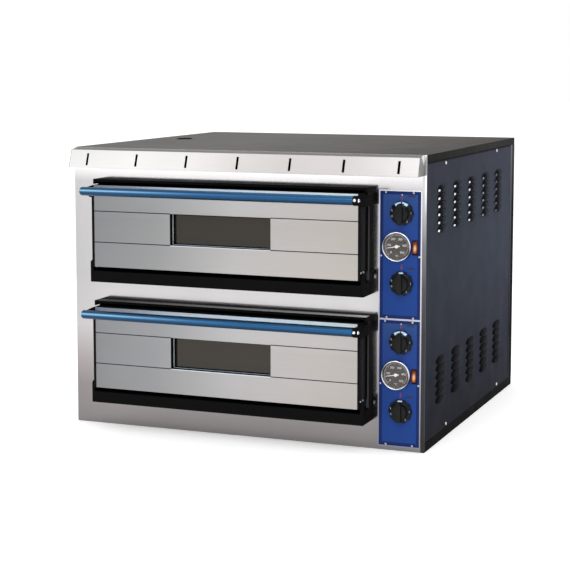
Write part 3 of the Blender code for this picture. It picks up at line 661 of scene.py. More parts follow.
def add_prism(bm, outline, axis, low, high):
    """Extrude a closed outline along an axis: 0 takes (y, z) points, 1 (x, z), 2 (x, y)."""
    ends = []
    for along in (low, high):
        ring = [bm.verts.new(tuple(point[:axis]) + (along,) + tuple(point[axis:])) for point in outline]
        ends.append(ring)
        bm.faces.new(ring)
    for i in range(len(outline)):
        j = (i + 1) % len(outline)
        bm.faces.new((ends[0][i], ends[0][j], ends[1][j], ends[1][i]))


def add_box(bm, low, high):
    (x0, y0, z0), (x1, y1, z1) = low, high
    add_prism(bm, ((y0, z0), (y1, z0), (y1, z1), (y0, z1)), 0, x0, x1)


def bridge(bm, rings, closed=False):
    """Skin a row of point rings; a ring of one point closes an end."""
    made = [[bm.verts.new(point) for point in ring] for ring in rings]
    pairs = list(zip(made, made[1:]))
    if closed:
        pairs.append((made[-1], made[0]))
    for first, second in pairs:
        count = max(len(first), len(second))
        for i in range(count):
            j = (i + 1) % count
            corners = (first[i % len(first)], first[j % len(first)],
                       second[j % len(second)], second[i % len(second)])
            bm.faces.new(tuple(dict.fromkeys(corners)))
    return made


def oval(centre, halves, steps):
    """Points round an ellipse in two dimensions."""
    return [(centre[0] + halves[0] * math.cos(TAU * i / steps),
             centre[1] + halves[1] * math.sin(TAU * i / steps)) for i in range(steps)]


def frontal_ring(x0, z0, x1, z1, reach):
    """The corners of a rectangle that faces -Y."""
    y = ahead(reach)
    return [(x0, y, z0), (x1, y, z0), (x1, y, z1), (x0, y, z1)]


def add_turned(bm, profile, centre, axis, sides=48, lobes=0):
    """Turn (radius, offset[, lobe depth]) points round X, Y or Z."""
    across = [i for i in range(3) if i != axis]
    rings = []
    for row in profile:
        radius, offset = row[:2]
        depth = row[2] if len(row) > 2 else 0.0
        ring = []
        for i in range(1 if radius == 0.0 else sides):
            angle = TAU * i / sides
            reach = radius * (1.0 + depth * math.cos(lobes * angle))
            point = list(centre)
            point[axis] += offset
            point[across[0]] += reach * math.cos(angle)
            point[across[1]] += reach * math.sin(angle)
            ring.append(tuple(point))
        rings.append(ring)
    bridge(bm, rings)


def add_frontal_turned(bm, rows, centre, sides=48, lobes=0):
    """Turn rows of (radius, reach[, lobe depth]) round Y; a reach grows towards the front."""
    add_turned(bm, [(row[0], -row[1], *row[2:]) for row in rows], centre, 1, sides, lobes)


def add_screw(bm, centre, axis, side, radius=0.0034, height=0.0022):
    """Pan head with a cross recess, standing on `centre` and facing `side` along an axis."""
    rows = ((0.0, 0.35), (0.22, 0.35, 0.30), (0.42, 0.98, 0.30), (0.55, 0.97), (0.80, 0.86),
            (0.96, 0.50), (1.0, 0.12), (1.0, 0.0), (0.0, 0.0))
    profile = [(radius * r, side * height * h, *lobe) for r, h, *lobe in rows]
    add_turned(bm, profile, centre, axis, 24, 4)


def add_sector(bm, centre, radii, reaches, angles, steps=24, thickness=0.00015):
    """A printed sector that faces -Y; angles in degrees, anticlockwise from +X."""
    rings = []
    for i in range(steps + 1):
        angle = math.radians(angles[0] + (angles[1] - angles[0]) * i / steps)
        row = [(centre[0] + radius * math.cos(angle), reach, centre[1] + radius * math.sin(angle))
               for radius, reach in zip(radii, reaches)]
        rings.append([(x, ahead(r), z) for x, r, z in row]
                     + [(x, ahead(r - thickness), z) for x, r, z in reversed(row)])
    made = bridge(bm, rings)
    bm.faces.new(made[0])
    bm.faces.new(made[-1])


def add_stroke(bm, points, width, reach, thickness=0.00015):
    """A flat line through (x, z) points that faces -Y."""
    left, right = [], []
    for i, point in enumerate(points):
        before = Vector(points[max(i - 1, 0)])
        after = Vector(points[min(i + 1, len(points) - 1)])
        direction = (after - before).normalized()
        offset = Vector((-direction.y, direction.x)) * width / 2
        left.append(tuple(Vector(point) + offset))
        right.append(tuple(Vector(point) - offset))
    near, far = ahead(reach), ahead(reach - thickness)
    for i in range(len(points) - 1):
        add_prism(bm, (left[i], left[i + 1], right[i + 1], right[i]), 1, near, far)


def add_bevel(obj, width, segments=2):
    modifier = obj.modifiers.new("edge_rounding", "BEVEL")
    modifier.width = width
    modifier.segments = segments
    modifier.limit_method = "ANGLE"
    modifier.angle_limit = math.radians(35.0)
    modifier.harden_normals = True


def dress(name, mesh, mat, body, bevel=0.0, angle=35.0):
    """Make a mesh a piece that rides on a body."""
    obj = bpy.data.objects.new(name, mesh)
    bpy.context.scene.collection.objects.link(obj)
    mesh.materials.clear()
    mesh.materials.append(mat)
    mesh.shade_smooth()
    if bevel:
        add_bevel(obj, bevel)
    else:
        mesh.set_sharp_from_angle(angle=math.radians(angle))
    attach(obj, body)
    return obj


def piece(name, mat, body, build, bevel=0.0, angle=35.0):
    """A piece whose shape is added to an empty mesh by `build`."""
    bm = bmesh.new()
    build(bm)
    bmesh.ops.recalc_face_normals(bm, faces=bm.faces)
    mesh = bpy.data.meshes.new(name)
    bm.to_mesh(mesh)
    bm.free()
    return dress(name, mesh, mat, body, bevel, angle)


def words(name, text, size, centre, reach):
    """Flat characters that face -Y, centred on an (x, z) point."""
    curve = bpy.data.curves.new(name, "FONT")
    curve.body = text
    curve.size = size
    curve.align_x = "CENTER"
    curve.align_y = "CENTER"
    curve.resolution_u = 3
    curve.extrude = 0.00008
    source = bpy.data.objects.new(name + "_source", curve)
    bpy.context.scene.collection.objects.link(source)
    bpy.context.view_layer.update()
    mesh = bpy.data.meshes.new_from_object(source.evaluated_get(bpy.context.evaluated_depsgraph_get()))
    bpy.data.objects.remove(source)
    mesh.transform(Matrix.Translation((centre[0], ahead(reach), centre[1]))
                   @ Matrix.Rotation(math.radians(90.0), 4, "X"))
    return mesh


def words_round(name, marks, size, centre, radius, reach):
    """Upright characters on a circle; each mark is its text and its angle in degrees."""
    meshes = []
    for text, angle in marks:
        turn = math.radians(angle)
        spot = (centre[0] + radius * math.cos(turn), centre[1] + radius * math.sin(turn))
        meshes.append(words(name, text, size, spot, reach))
    return meshes


def joined(name, meshes, mat, body):
    """Several meshes as one piece."""
    bm = bmesh.new()
    for mesh in meshes:
        bm.from_mesh(mesh)
    bmesh.ops.remove_doubles(bm, verts=bm.verts, dist=1e-6)
    whole = bpy.data.meshes.new(name)
    bm.to_mesh(whole)
    bm.free()
    dress(name, whole, mat, body)


def refine(node, mat, bevel=0.0, segments=2):
    """A CAD node keeps its shape, and gets a material and softened edges."""
    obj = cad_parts[node]
    mesh = obj.data
    mesh.materials.clear()
    mesh.materials.append(mat)
    normals = mesh.attributes.get("custom_normal")
    if normals:
        mesh.attributes.remove(normals)
    mesh.shade_smooth()
    weld = obj.modifiers.new("weld", "WELD")
    weld.merge_threshold = 0.00001
    if bevel:
        add_bevel(obj, bevel, segments)
    else:
        split = obj.modifiers.new("hard_edges", "EDGE_SPLIT")
        split.split_angle = math.radians(32.0)


# --- Casing ----------------------------------------------------------------------------

LOUVRE_FIRST_Y = 0.138                    # centre of the first column, behind the fascia
LOUVRE_FIRST_Z = (0.1093, 0.5495)         # lowest row of each group
LOUVRE_PITCH_Y, LOUVRE_PITCH_Z = 0.145, 0.0204
LOUVRE_COLUMNS, LOUVRE_ROWS = 5, 6
HOOD_LENGTH, HOOD_RISE, HOOD_DROP, HOOD_REACH = 0.0425, 0.0120, 0.0065, 0.0050
OUTLET_HALVES = (0.0160, 0.0272)
BACK_JOINT_Z = 0.3725


def louvre_places(group):
    for column in range(LOUVRE_COLUMNS):
        for row in range(LOUVRE_ROWS):
            yield (FRONT_Y + LOUVRE_FIRST_Y + column * LOUVRE_PITCH_Y,
                   LOUVRE_FIRST_Z[group] + row * LOUVRE_PITCH_Z)


def louvre_point(side, y, z, u, v):
    """A point on a hood: u runs from its front end to its back end, v from root to lip."""
    swell = math.sqrt(max(0.0, 1.0 - abs(u) ** 3.2))
    turn = v * math.pi / 2
    return (side * (HALF_WIDTH + HOOD_REACH * swell * math.sin(turn)),
            y + HOOD_LENGTH * u,
            z + HOOD_RISE * swell * math.cos(turn) - HOOD_DROP * v * swell)


def make_louvres(side, name, mat, glint_mat):
    """Pressed hoods over the punched slots; the upper ones carry small domes with a painted glint."""
    columns, rows = 18, 6
    bm = bmesh.new()
    along = bm.verts.layers.float.new("along")
    drop = bm.verts.layers.float.new("drop")
    for group in range(len(LOUVRE_FIRST_Z)):
        for y, z in louvre_places(group):
            grid = []
            for i in range(columns + 1):
                u = -1.0 + 2.0 * i / columns
                strip = []
                for k in range(rows + 1):
                    vert = bm.verts.new(louvre_point(side, y, z, u, k / rows))
                    vert[along] = (u + 1.0) / 2.0
                    vert[drop] = k / rows
                    strip.append(vert)
                grid.append(strip)
            for first, second in zip(grid, grid[1:]):
                for k in range(rows):
                    bm.faces.new((first[k], first[k + 1], second[k + 1], second[k]))
    bmesh.ops.remove_doubles(bm, verts=bm.verts, dist=1e-6)
    bmesh.ops.recalc_face_normals(bm, faces=bm.faces)
    mesh = bpy.data.meshes.new(name)
    bm.to_mesh(mesh)
    bm.free()
    hoods = dress(name, mesh, mat, BODY, angle=60.0)
    shell = hoods.modifiers.new("sheet", "SOLIDIFY")
    shell.thickness = 0.0007
    shell.offset = 0.0

    def glint_domes(bm):
        """A flat dome near the front lip of each upper hood, carrying a painted glint."""
        levels, stand, foot, halves = 6, 0.0012, 0.0004, (0.0095, 0.0030)
        for y, z in louvre_places(1):
            centre = louvre_point(side, y, z, -0.84, 0.82)
            rings = [[(centre[0] - side * foot, centre[1], centre[2])]]
            for level in range(levels + 1):
                angle = math.pi / 2 * level / levels
                x, shrink = centre[0] + side * stand * math.sin(angle), math.cos(angle)
                round_points = oval(centre[1:], (halves[0] * shrink, halves[1] * shrink),
                                    1 if level == levels else 16)
                rings.append([(x, *point) for point in round_points])
            bridge(bm, rings)
    piece(name + "_tips", glint_mat, BODY, glint_domes)


def make_side_fittings(side, name, zinc, corner, seam):
    """Panel screws, and the folded strip down the rear corner with a painted highlight along its seam."""
    face = side * HALF_WIDTH

    def screws(bm):
        for y, z in ((0.168, 0.716), (0.694, 0.718), (0.192, 0.034), (0.729, 0.034)):
            add_screw(bm, (face, FRONT_Y + y, z), 0, side, 0.0043, 0.0026)
    piece(name + "_side_screws", zinc, BODY, screws)

    foot, head = 0.0263, HEIGHT - 0.0198
    for label, mat, front, back, stand, bevel in (
            ("corner", corner, FRONT_Y + 0.881, BACK_Y - 0.0026, 0.0010, 0.0005),
            ("seam", seam, FRONT_Y + 0.864, FRONT_Y + 0.8806, 0.0007, 0.0003)):
        low_x, high_x = sorted((face, face + side * stand))
        piece(name + "_rear_" + label, mat, BODY, lambda bm: add_box(
            bm, (low_x, front, foot), (high_x, back, head)), bevel)


def make_hood_trim():
    """Cheek plates that close the hood's two ends, and a matt black plate behind its slots that stands in
    for the shade inside the hood.
    """
    low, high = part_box("front_hood")
    cheek = ((high.y, high.z - 0.0003), (ahead(0.0298), high.z - 0.0048),
             (low.y + 0.0003, low.z + 0.0003), (high.y, low.z + 0.0003))
    end_steel = make_hood_end_steel()
    for name, inner in (("left", low.x - 0.0009), ("right", high.x + 0.0001)):
        piece("hood_cheek_" + name, end_steel, BODY,
              lambda bm: add_prism(bm, cheek, 0, inner, inner + 0.0008), 0.0002)
    # black plate that stands in for the shade behind the slots
    shade_plate = ((ahead(0.0300), 0.734), (ahead(0.0285), 0.734), (ahead(0.0385), 0.698), (ahead(0.0400), 0.698))
    piece("hood_shade_plate", make_plastic("hood_shade_black", (0.002, 0.002, 0.002), 0.9, 0.0), BODY,
          lambda bm: add_prism(bm, shade_plate, 0, low.x + 0.004, high.x - 0.004))


def make_steam_outlet(black):
    """Raised rim of the steam outlet, and a matt black plate down inside it that stands in for the shade in
    the duct.
    """
    low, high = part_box("steam_outlet")
    centre = ((low.x + high.x) / 2, (low.y + high.y) / 2)

    def grown(grow, height, steps):
        halves = (OUTLET_HALVES[0] + grow, OUTLET_HALVES[1] + grow)
        return [(x, y, HEIGHT + height) for x, y in oval(centre, halves, steps)]

    def rim(bm):
        profile = ((0.0008, -0.0015), (0.0008, 0.0010), (0.0018, 0.0018), (0.0040, 0.0012),
                   (0.0052, 0.0001), (0.0052, -0.0002))
        bridge(bm, [grown(grow, height, 48) for grow, height in profile], closed=True)
    piece("steam_outlet_rim", black, BODY, rim)
    # black plate that stands in for the shade down the duct
    piece("steam_duct_shade", make_plastic("duct_shade_black", (0.002, 0.002, 0.002), 0.9, 0.0), BODY,
          lambda bm: add_prism(bm, [point[:2] for point in grown(-0.0005, 0.0, 24)], 2,
                               HEIGHT - 0.034, HEIGHT - 0.033))


def make_back(zinc):
    """Screws, a joint strip between the decks, and the gland with its lock nut."""
    strip_stand = 0.001

    def screws(bm):
        for x in (-0.470, -0.160, 0.160, 0.470):
            for z in (0.040, BACK_JOINT_Z, 0.710):
                stand = strip_stand if z == BACK_JOINT_Z else 0.0
                add_screw(bm, (x, BACK_Y + stand, z), 1, 1)
    piece("back_screws", zinc, BODY, screws)
    edge_x, half_z = HALF_WIDTH - 0.004, 0.0105
    piece("back_joint_strip", make_black_enamel(), BODY, lambda bm: add_box(
        bm, (-edge_x, BACK_Y, BACK_JOINT_Z - half_z), (edge_x, BACK_Y + strip_stand, BACK_JOINT_Z + half_z)),
        0.0004)
    x, z = middle_of("cable_gland")

    def gland(bm):
        rows = ((0.0060, -0.0100), (0.0060, 0.0160), (0.0085, 0.0165), (0.0112, 0.0155),
                (0.0135, 0.0115), (0.0150, 0.0080), (0.0150, 0.0075), (0.0160, 0.0070, 0.02),
                (0.0160, 0.0003, 0.02), (0.0120, 0.0003), (0.0120, -0.0023), (0.0160, -0.0023),
                (0.0160, -0.0180), (0.0110, -0.0180), (0.0110, -0.0100))
        add_turned(bm, rows + (rows[0],), (x, BACK_Y, z), 1, 48, 6)
    made = piece("cable_gland_nut", make_plastic(), BODY, gland)
    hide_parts("cable_gland")


def make_casing():
    black, side_paint, zinc = make_black_paint(), make_side_paint(), make_zinc()
    refine("base_tray", black, 0.0006)
    refine("front_fascia", make_fascia_steel(), 0.0006)
    for node in ("left_side_panel", "right_side_panel", "back_panel"):
        refine(node, side_paint)
    refine("top_panel", make_lid_metal(), 0.0007, 3)
    refine("steam_outlet", make_liner_steel())
    refine("front_hood", make_hood_steel(), 0.0006, 3)
    # tip holds the painted glints on the upper louvres
    louvre_paint, tip = make_louvre_paint(), make_glint()
    # seam holds the painted highlight down the rear fold
    corner, seam = make_corner_paint(), make_seam_paint()
    for side, name in ((-1, "left"), (1, "right")):
        make_louvres(side, name + "_louvre_hoods", louvre_paint, tip)
        make_side_fittings(side, name, zinc, corner, seam)
    make_hood_trim()
    make_steam_outlet(black)
    make_back(zinc)


# --- Chamber and surround --------------------------------------------------------------

def make_chamber(deck, looks):
    for part, look in (("chamber_liner", "liner"), ("insulation", "wool"), ("floor_element", "sheath"),
                       ("ceiling_element", "sheath"), ("chamber_lamp", "lamp"),
                       ("floor_heat_thermostat", "zinc"), ("ceiling_heat_thermostat", "zinc")):
        refine(deck + "_" + part, looks[look])
    refine(deck + "_baking_stone", looks["stone"], 0.0015, 3)


def make_surround(deck, looks):
    low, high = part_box(deck + "_door_surround")
    refine(deck + "_door_surround", make_surround_black(deck), 0.0007)
    refine(deck + "_hinge_rod", looks["zinc"])
    mouth_low, mouth_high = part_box(deck + "_chamber_liner")

    def gasket(bm):
        """Flattened rope round the mouth, on the surround's back plate."""
        rings = []
        for grow, reach in ((0.0015, 0.0060), (0.0025, 0.0070), (0.0045, 0.0076),
                            (0.0070, 0.0076), (0.0090, 0.0070), (0.0100, 0.0060)):
            rings.append(frontal_ring(mouth_low.x - grow, mouth_low.z - grow,
                                      mouth_high.x + grow, mouth_high.z + grow, reach))
        bridge(bm, rings, closed=True)
    piece(deck + "_door_gasket", looks["rope"], BODY, gasket)

    def bolts(bm):
        """Hinge bolt heads on the fascia, outside both cheeks."""
        rows = ((0.0, 0.0082), (0.0016, 0.0079), (0.0026, 0.0070), (0.0030, 0.0055),
                (0.0030, 0.0022), (0.0042, 0.0018), (0.0042, 0.0002), (0.0, 0.0002))
        for x in (low.x - 0.0085, high.x + 0.0085):
            add_frontal_turned(bm, rows, (x, FRONT_Y, HINGE_BOLT_Z + lift(deck)), 32)
    piece(deck + "_hinge_bolts", looks["black"], BODY, bolts)


# --- Door ------------------------------------------------------------------------------

def make_door(deck, looks):
    body = deck + "_door"
    refine(deck + "_door_frame", looks["frame"], 0.0006)
    refine(deck + "_door_front_panel", make_door_steel(deck), 0.0004)
    refine(deck + "_door_insulation", looks["wool"])
    refine(deck + "_door_inner_panel", looks["liner"], 0.0005)
    refine(deck + "_window_rim", looks["black"], 0.0005)
    refine(deck + "_door_glass", looks["glass"], 0.0006)
    refine(deck + "_handle_arm_left", looks["black"], 0.0008)
    refine(deck + "_handle_arm_right", looks["black"], 0.0012, 3)
    make_window(deck, body, looks)

    low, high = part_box(deck + "_door_frame")
    face_low, face_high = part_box(deck + "_door_front_panel")
    piece(deck + "_door_top_strip", looks["strip"], body, lambda bm: add_box(
        bm, (face_low.x, face_low.y - 0.0009, face_high.z - 0.0085),
        (face_high.x, face_low.y - 0.0001, face_high.z - 0.0001)), 0.0004)

    def screws(bm):
        for x, side in ((high.x, 1), (low.x, -1)):
            for reach in (0.0620, 0.0440):
                add_screw(bm, (x, ahead(reach), DOOR_SCREW_Z + lift(deck)), 0, side, 0.0028, 0.0016)
    piece(deck + "_door_screws", looks["zinc"], body, screws)
    make_handle(deck, body, looks)


def make_window(deck, body, looks):
    """Outer pane, its bright bead and its printed black border."""
    low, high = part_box(deck + "_window_rim")
    lap = 0.0082
    x0, x1, z0, z1 = low.x + lap, high.x - lap, low.z + lap, high.z - lap
    piece(deck + "_outer_pane", looks["glass"], body, lambda bm: add_box(
        bm, (x0, ahead(0.0480), z0), (x1, ahead(0.0450), z1)), 0.0005)

    def frame_of(left, foot, right, head, near, far):
        """A rectangular ring as wide as each margin, between two reaches."""
        outer = (x0, z0, x1, z1)
        inner = (x0 + left, z0 + foot, x1 - right, z1 - head)
        rings = [frontal_ring(*box, reach) for box, reach in (
            (outer, near), (outer, far), (inner, far), (inner, near))]
        return lambda bm: bridge(bm, rings, closed=True)
    piece(deck + "_window_bead", looks["bead"], body,
          frame_of(0.0012, 0.0012, 0.0012, 0.0012, 0.0525, 0.0486), 0.0003)
    piece(deck + "_pane_border", looks["ceramic"], body,
          frame_of(0.0046, 0.0036, 0.0036, 0.0036, 0.0484, 0.04815))


def make_handle(deck, body, looks):
    low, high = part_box(deck + "_handle_bar")
    radius = (high.z - low.z) / 2
    centre = (0.0, (low.y + high.y) / 2, (low.z + high.z) / 2)
    rows = []
    for i in range(9):
        angle = math.pi / 2 * i / 8
        rows.append((radius * math.sin(angle), low.x + 0.7 * radius * (1 - math.cos(angle))))
    rows += [(radius, low.x + 0.20), (radius, high.x), (0.0, high.x)]
    bar = piece(deck + "_handle_tube", looks["blue"], body,
                lambda bm: add_turned(bm, rows, centre, 0))
    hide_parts(deck + "_handle_bar")

    def bolts(bm):
        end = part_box(deck + "_handle_arm_right")[1].x
        add_screw(bm, (end, centre[1], centre[2]), 0, 1, 0.0050, 0.0030)
        add_screw(bm, (high.x + 0.0062, low.y - 0.0008, centre[2] + 0.0020), 1, -1, 0.0040, 0.0026)
    piece(deck + "_handle_bolts", looks["chrome"], body, bolts)


# --- Controls --------------------------------------------------------------------------

KNOB_ANGLES = (3.0, -53.0, -109.0, -163.0, -196.0)
SCALE_START, SCALE_SWEEP, SCALE_MARKS = 225.0, 270.0, 30
PRINT_REACH = 0.0065          # the dial's printed marks


def rounded_rectangle(half_x, half_z, corner, steps=6):
    """Points round a rectangle with round corners."""
    points = []
    for quarter, (sx, sz) in enumerate(((1, 1), (-1, 1), (-1, -1), (1, -1))):
        for i in range(steps + 1):
            angle = math.radians(90.0 * (quarter + i / steps))
            points.append((sx * (half_x - corner) + corner * math.cos(angle),
                           sz * (half_z - corner) + corner * math.sin(angle)))
    return points


def make_knob(deck, heat, looks):
    """Skirted knob with a bar grip, and the marks printed on its skirt."""
    node = deck + "_" + heat + "_knob"
    centre = cx, cz = middle_of(node)

    def build(bm):
        rows = ((0.0, 0.0170), (0.0032, 0.0170), (0.0032, 0.0032), (0.0288, 0.0032, 0.045),
                (0.0296, 0.0040, 0.045), (0.0296, 0.0060, 0.045), (0.0289, 0.0072, 0.04),
                (0.0272, 0.0078, 0.015), (0.0222, 0.0086), (0.0213, 0.0094), (0.0204, 0.0130),
                (0.0197, 0.0190), (0.0188, 0.0208), (0.0170, 0.0215), (0.0, 0.0215))
        add_frontal_turned(bm, rows, (cx, FRONT_Y, cz), 120, 10)
        grip_root, grip_top = 0.0090, 0.0300
        rings = [[(cx, ahead(grip_root), cz)]]
        for scale, reach in ((1.0, grip_root), (0.99, 0.0200), (0.95, 0.0275), (0.90, 0.0292),
                             (0.80, grip_top)):
            trim = (1.0 - scale) * 0.018
            outline = rounded_rectangle(0.0075 * scale, 0.0253 - trim, 0.0055 * scale)
            rings.append([(cx + x, ahead(reach), cz + z) for x, z in outline])
        rings.append([(cx, ahead(grip_top), cz)])
        bridge(bm, rings)
    knob = piece(node + "_moulding", looks["knob"], node, build)
    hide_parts(node)

    def crown(bm):
        """Printed zero mark: a wide one on the upper knob, a small one on the lower."""
        if heat == "ceiling_heat":
            for angles in ((52.0, 87.0), (93.0, 128.0)):
                add_sector(bm, centre, (0.0214, 0.0284), (0.0090, 0.0079), angles)
            add_sector(bm, centre, (0.0214, 0.0250), (0.0090, 0.0086), (87.0, 93.0), 4)
        else:
            add_sector(bm, centre, (0.0254, 0.0284), (0.0085, 0.0079), (78.0, 102.0), 8)
            add_sector(bm, centre, (0.0214, 0.0254), (0.0090, 0.0085), (84.0, 96.0), 6)
    piece(node + "_crown", looks["sky"], node, crown)
    marks = [(str(i + 1), angle) for i, angle in enumerate(KNOB_ANGLES)]
    numbers = words_round(node + "_n", marks, 0.0074, centre, 0.0250, 0.00885)
    joined(node + "_numbers", numbers, looks["faded"], node)


def make_panel_graphics(deck, looks):
    """Printed marks on the blue plate: a pointer over each knob and a heat symbol beside it."""
    face = FRONT_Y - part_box(deck + "_control_panel")[0].y
    root, reach = face + 0.00003, face + 0.00020
    for heat in HEATS:
        name = deck + "_" + heat
        row = 1 if heat == "ceiling_heat" else -1
        cx, top = middle_of(name + "_knob")[0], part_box(name + "_knob")[1].z

        def pointer(bm):
            half, head, neck, tip = 0.0026, top + 0.0125, top + 0.0085, top + 0.0035
            add_prism(bm, ((cx - half, head), (cx + half, head), (cx + half, neck), (cx, tip),
                           (cx - half, neck)), 1, ahead(reach), ahead(root))
        piece(name + "_pointer", looks["red"], BODY, pointer)

        def spot(bm):
            rows = ((0.0, reach), (0.0017, reach), (0.0017, root), (0.0, root))
            add_frontal_turned(bm, rows, (cx, FRONT_Y, top + 0.0158), 20)
        piece(name + "_zero", looks["faded" if row == 1 else "red"], BODY, spot)

        def symbol(bm):
            """A bar with a wave on the side that its heat comes from."""
            left, z = cx + 0.0140, top + (0.0138 if row == 1 else 0.0065)
            add_stroke(bm, ((left, z), (left + 0.0210, z)), 0.0022, reach)
            wave = []
            for i in range(25):
                part = i / 24
                wave.append((left + 0.0010 + 0.019 * part,
                             z - row * 0.0030 + 0.0009 * math.sin(TAU * 4 * part)))
            add_stroke(bm, wave, 0.0013, reach)
        piece(name + "_symbol", looks["dark"], BODY, symbol)


def make_panel(deck, looks):
    low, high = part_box(deck + "_control_panel")
    refine(deck + "_control_panel", make_panel_blue(deck), 0.0004)
    face = FRONT_Y - low.y

    def trim(bm):
        """Folded edge that laps over the plate; the decks' trims share the gap between them."""
        below, above = (0.0026, 0.0016) if deck == "lower" else (0.0016, 0.0026)
        outer, lap, inner = (0.0026, below, above), (-0.0004,) * 3, (0.0002,) * 3
        rings = []
        for (side, foot, head), reach in ((outer, 0.0001), (outer, face + 0.0010), (lap, face + 0.0010),
                                          (lap, face + 0.0002), (inner, face + 0.0002), (inner, 0.0001)):
            rings.append(frontal_ring(low.x - side, low.z - foot, high.x + side, high.z + head, reach))
        bridge(bm, rings, closed=True)
    piece(deck + "_panel_trim", looks["trim"], BODY, trim)

    def screws(bm):
        middle, edge = PANEL_SCREW_Z + lift(deck), 0.0034
        for x, z in ((0.386, high.z - edge), (0.458, high.z - edge), (0.3745, middle),
                     (0.4742, middle), (0.390, low.z + edge), (0.459, low.z + edge)):
            add_screw(bm, (x, low.y, z), 1, -1, 0.0029, 0.0020)
    piece(deck + "_panel_screws", looks["zinc"], BODY, screws)
    make_panel_graphics(deck, looks)
    for heat in HEATS:
        make_knob(deck, heat, looks)
    make_dial(deck, looks)
    make_rocker(deck, looks)


def make_dial(deck, looks):
    """Thermometer: turned case, printed face, needle and lens."""
    centre = cx, cz = middle_of(deck + "_thermometer")
    root = (cx, FRONT_Y, cz)

    def turned(rows, sides):
        return lambda bm: add_frontal_turned(bm, rows, root, sides)

    made = piece(deck + "_dial_case", make_bezel_chrome(deck), BODY, turned((
        (0.0, -0.0300), (0.0290, -0.0300), (0.0290, 0.0026), (0.0370, 0.0026), (0.0380, 0.0034),
        (0.0380, 0.0088), (0.0375, 0.0106), (0.0365, 0.0120), (0.0355, 0.0125), (0.0346, 0.0122),
        (0.0338, 0.0110), (0.0332, 0.0095), (0.0330, 0.0060), (0.0, 0.0060)), 96), angle=50.0)
    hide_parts(deck + "_thermometer")
    piece(deck + "_dial_face", looks["dial"], BODY, turned((
        (0.0, 0.0063), (0.0328, 0.0063), (0.0328, 0.0061), (0.0, 0.0061)), 64))

    def scale(bm):
        """An arc with a longer and wider mark at every fifth place."""
        reaches = (PRINT_REACH, PRINT_REACH)
        add_sector(bm, centre, (0.0294, 0.0300), reaches, (SCALE_START - SCALE_SWEEP, SCALE_START), 72)
        for i in range(SCALE_MARKS + 1):
            angle = SCALE_START - SCALE_SWEEP * i / SCALE_MARKS
            inner, wide = (0.0262, 0.9) if i % 5 == 0 else (0.0278, 0.5)
            add_sector(bm, centre, (inner, 0.0294), reaches, (angle - wide, angle + wide), 2)
    piece(deck + "_dial_scale", looks["faded"], BODY, scale)
    piece(deck + "_dial_limit", looks["red"], BODY, lambda bm: add_sector(
        bm, centre, (0.0303, 0.0318), (PRINT_REACH, PRINT_REACH), (-45.0, 10.0), 16))
    marks = [(str(100 * i), SCALE_START - SCALE_SWEEP * i / 5) for i in range(6)]
    numbers = words_round(deck + "_n", marks, 0.0078, centre, 0.0205, PRINT_REACH)
    numbers.append(words(deck + "_n", "°C", 0.0070, (cx, cz - 0.0235), PRINT_REACH))
    joined(deck + "_dial_numbers", numbers, looks["white"], BODY)

    node = deck + "_thermometer_needle"
    refine(node, looks["needle"], 0.0001, 1)
    piece(deck + "_needle_cap", looks["needle"], node, turned((
        (0.0, 0.0098), (0.0026, 0.0096), (0.0040, 0.0091), (0.0043, 0.0086), (0.0, 0.0086)), 32))
    piece(deck + "_dial_lens", looks["lens"], BODY, turned((
        (0.0, 0.0114), (0.0150, 0.0112), (0.0332, 0.0106), (0.0332, 0.0101), (0.0150, 0.0107),
        (0.0, 0.0109)), 64))


def make_rocker(deck, looks):
    refine(deck + "_power_rocker", make_amber(deck), 0.0010, 3)
    cx, cz = middle_of(deck + "_power_rocker")
    face = FRONT_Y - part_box(deck + "_control_panel")[0].y

    def bezel(bm):
        rings = []
        for half_x, half_z, stand in ((0.0076, 0.0186, 0.0), (0.0076, 0.0186, 0.0016),
                                      (0.0068, 0.0178, 0.0024), (0.0068, 0.0169, 0.0024),
                                      (0.0064, 0.0165, 0.0018), (0.0064, 0.0165, 0.0)):
            rings.append([(cx + x, ahead(face + stand), cz + z)
                          for x, z in rounded_rectangle(half_x, half_z, 0.0020, 4)])
        bridge(bm, rings, closed=True)
    piece(deck + "_rocker_bezel", looks["knob"], BODY, bezel)


# --- Studio ----------------------------------------------------------------------------

def make_camera():
    data = bpy.data.cameras.new("camera")
    data.sensor_width = 36.0
    data.lens = 99.6
    data.shift_y = -0.100
    data.clip_start, data.clip_end = 0.1, 100.0
    camera = bpy.data.objects.new("camera", data)
    camera.location = (1.5923, -4.1646, 0.9845)
    camera.rotation_euler = (math.radians(83.80), 0.0, math.radians(21.70))
    bpy.context.scene.collection.objects.link(camera)
    bpy.context.scene.camera = camera


def make_world():
    """White to the eye, and a soft studio to everything that it lights."""
    world = bpy.data.worlds.new("studio")
    world.use_nodes = True
    bpy.context.scene.world = world
    tree = world.node_tree
    tree.nodes.clear()
    place, split, spread, ramp, path, seen, lit, mix, out = (
        tree.nodes.new("ShaderNode" + kind) for kind in (
            "TexCoord", "SeparateXYZ", "MapRange", "ValToRGB", "LightPath", "Background",
            "Background", "MixShader", "OutputWorld"))
    spread.inputs["From Min"].default_value = -1.0
    set_stops(ramp, ((0.0, 0.62), (0.50, 0.66), (0.57, 0.85), (0.72, 1.12), (1.0, 1.0)))
    seen.inputs["Color"].default_value = (1.0, 1.0, 1.0, 1.0)
    for source, target in (
            (place.outputs["Generated"], split.inputs[0]), (split.outputs[2], spread.inputs["Value"]),
            (spread.outputs[0], ramp.inputs[0]), (ramp.outputs[0], lit.inputs["Color"]),
            (path.outputs["Is Camera Ray"], mix.inputs[0]), (lit.outputs[0], mix.inputs[1]),
            (seen.outputs[0], mix.inputs[2]), (mix.outputs[0], out.inputs["Surface"])):
        tree.links.new(source, target)


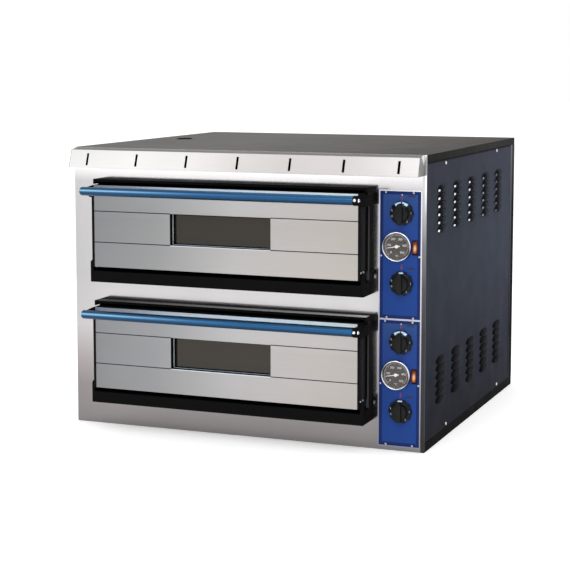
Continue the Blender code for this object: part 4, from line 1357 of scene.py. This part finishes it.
def make_floor():
    look = Look("floor_paper", Roughness=0.9, Emission_Color=WHITE, Emission_Strength=0.30)
    look.paint((0.86, 0.86, 0.86), 0.01, 40.0)
    mesh = bpy.data.meshes.new("floor")
    half, z = 30.0, -0.0005
    mesh.from_pydata([(-half, -half, z), (half, -half, z), (half, half, z), (-half, half, z)],
                     [], [(0, 1, 2, 3)])
    floor = bpy.data.objects.new("floor", mesh)
    mesh.materials.append(look.mat)
    bpy.context.scene.collection.objects.link(floor)


def make_light(name, place, target, size, power):
    data = bpy.data.lights.new(name, "AREA")
    data.shape = "RECTANGLE"
    data.size, data.size_y = size
    data.energy = power
    obj = bpy.data.objects.new(name, data)
    obj.location = place
    aim = Vector(target) - Vector(place)
    obj.rotation_mode = "QUATERNION"
    obj.rotation_quaternion = aim.to_track_quat("-Z", "Y")
    bpy.context.scene.collection.objects.link(obj)


def make_studio():
    """A soft key from the front and above, and a wide soft box over the top."""
    make_camera()
    make_world()
    make_floor()
    make_light("key", (0.4, -3.4, 3.0), (0.0, -0.3, 0.4), (2.2, 1.2), 42.0)
    make_light("top", (0.3, 0.2, 3.6), (0.0, 0.0, 0.5), (3.0, 3.0), 35.0)


# --- The whole oven --------------------------------------------------------------------

INKS = {"white": (0.75, 0.76, 0.78), "red": (0.17, 0.020, 0.035), "dark": (0.002, 0.003, 0.010),
        "sky": (0.52, 0.70, 0.92), "faded": (0.48, 0.48, 0.50)}


def make_looks():
    """The materials that both decks share."""
    looks = {
        "black": make_black_enamel(), "zinc": make_zinc(), "chrome": make_chrome(),
        "wool": make_wool(), "liner": make_liner_steel(), "glass": make_smoked_glass(),
        "blue": make_handle_blue(), "knob": make_plastic(), "trim": make_trim_steel(),
        "dial": make_dial_face(), "lens": make_clear_glass(), "strip": make_strip_steel(),
        "bead": make_bead_steel(), "stone": make_stone(), "sheath": make_sheath(),
        "lamp": make_lamp_glass(), "rope": make_gasket(),
        "needle": make_ink("needle_white", (0.88, 0.88, 0.87), 0.4),
        "ceramic": make_plastic("black_ceramic", (0.0015, 0.0015, 0.0015), 0.5, 0.02),
        "frame": make_black_enamel("door_black", door_black, 0.015),
    }
    for name, colour in INKS.items():
        looks[name] = make_ink(name + "_ink", colour)
    return looks


def main():
    bpy.context.scene.view_settings.view_transform = "Standard"
    make_studio()
    make_casing()
    looks = make_looks()
    for deck in DECKS:
        make_chamber(deck, looks)
        make_surround(deck, looks)
        make_door(deck, looks)
        make_panel(deck, looks)


main()
bpy.context.view_layer.update()
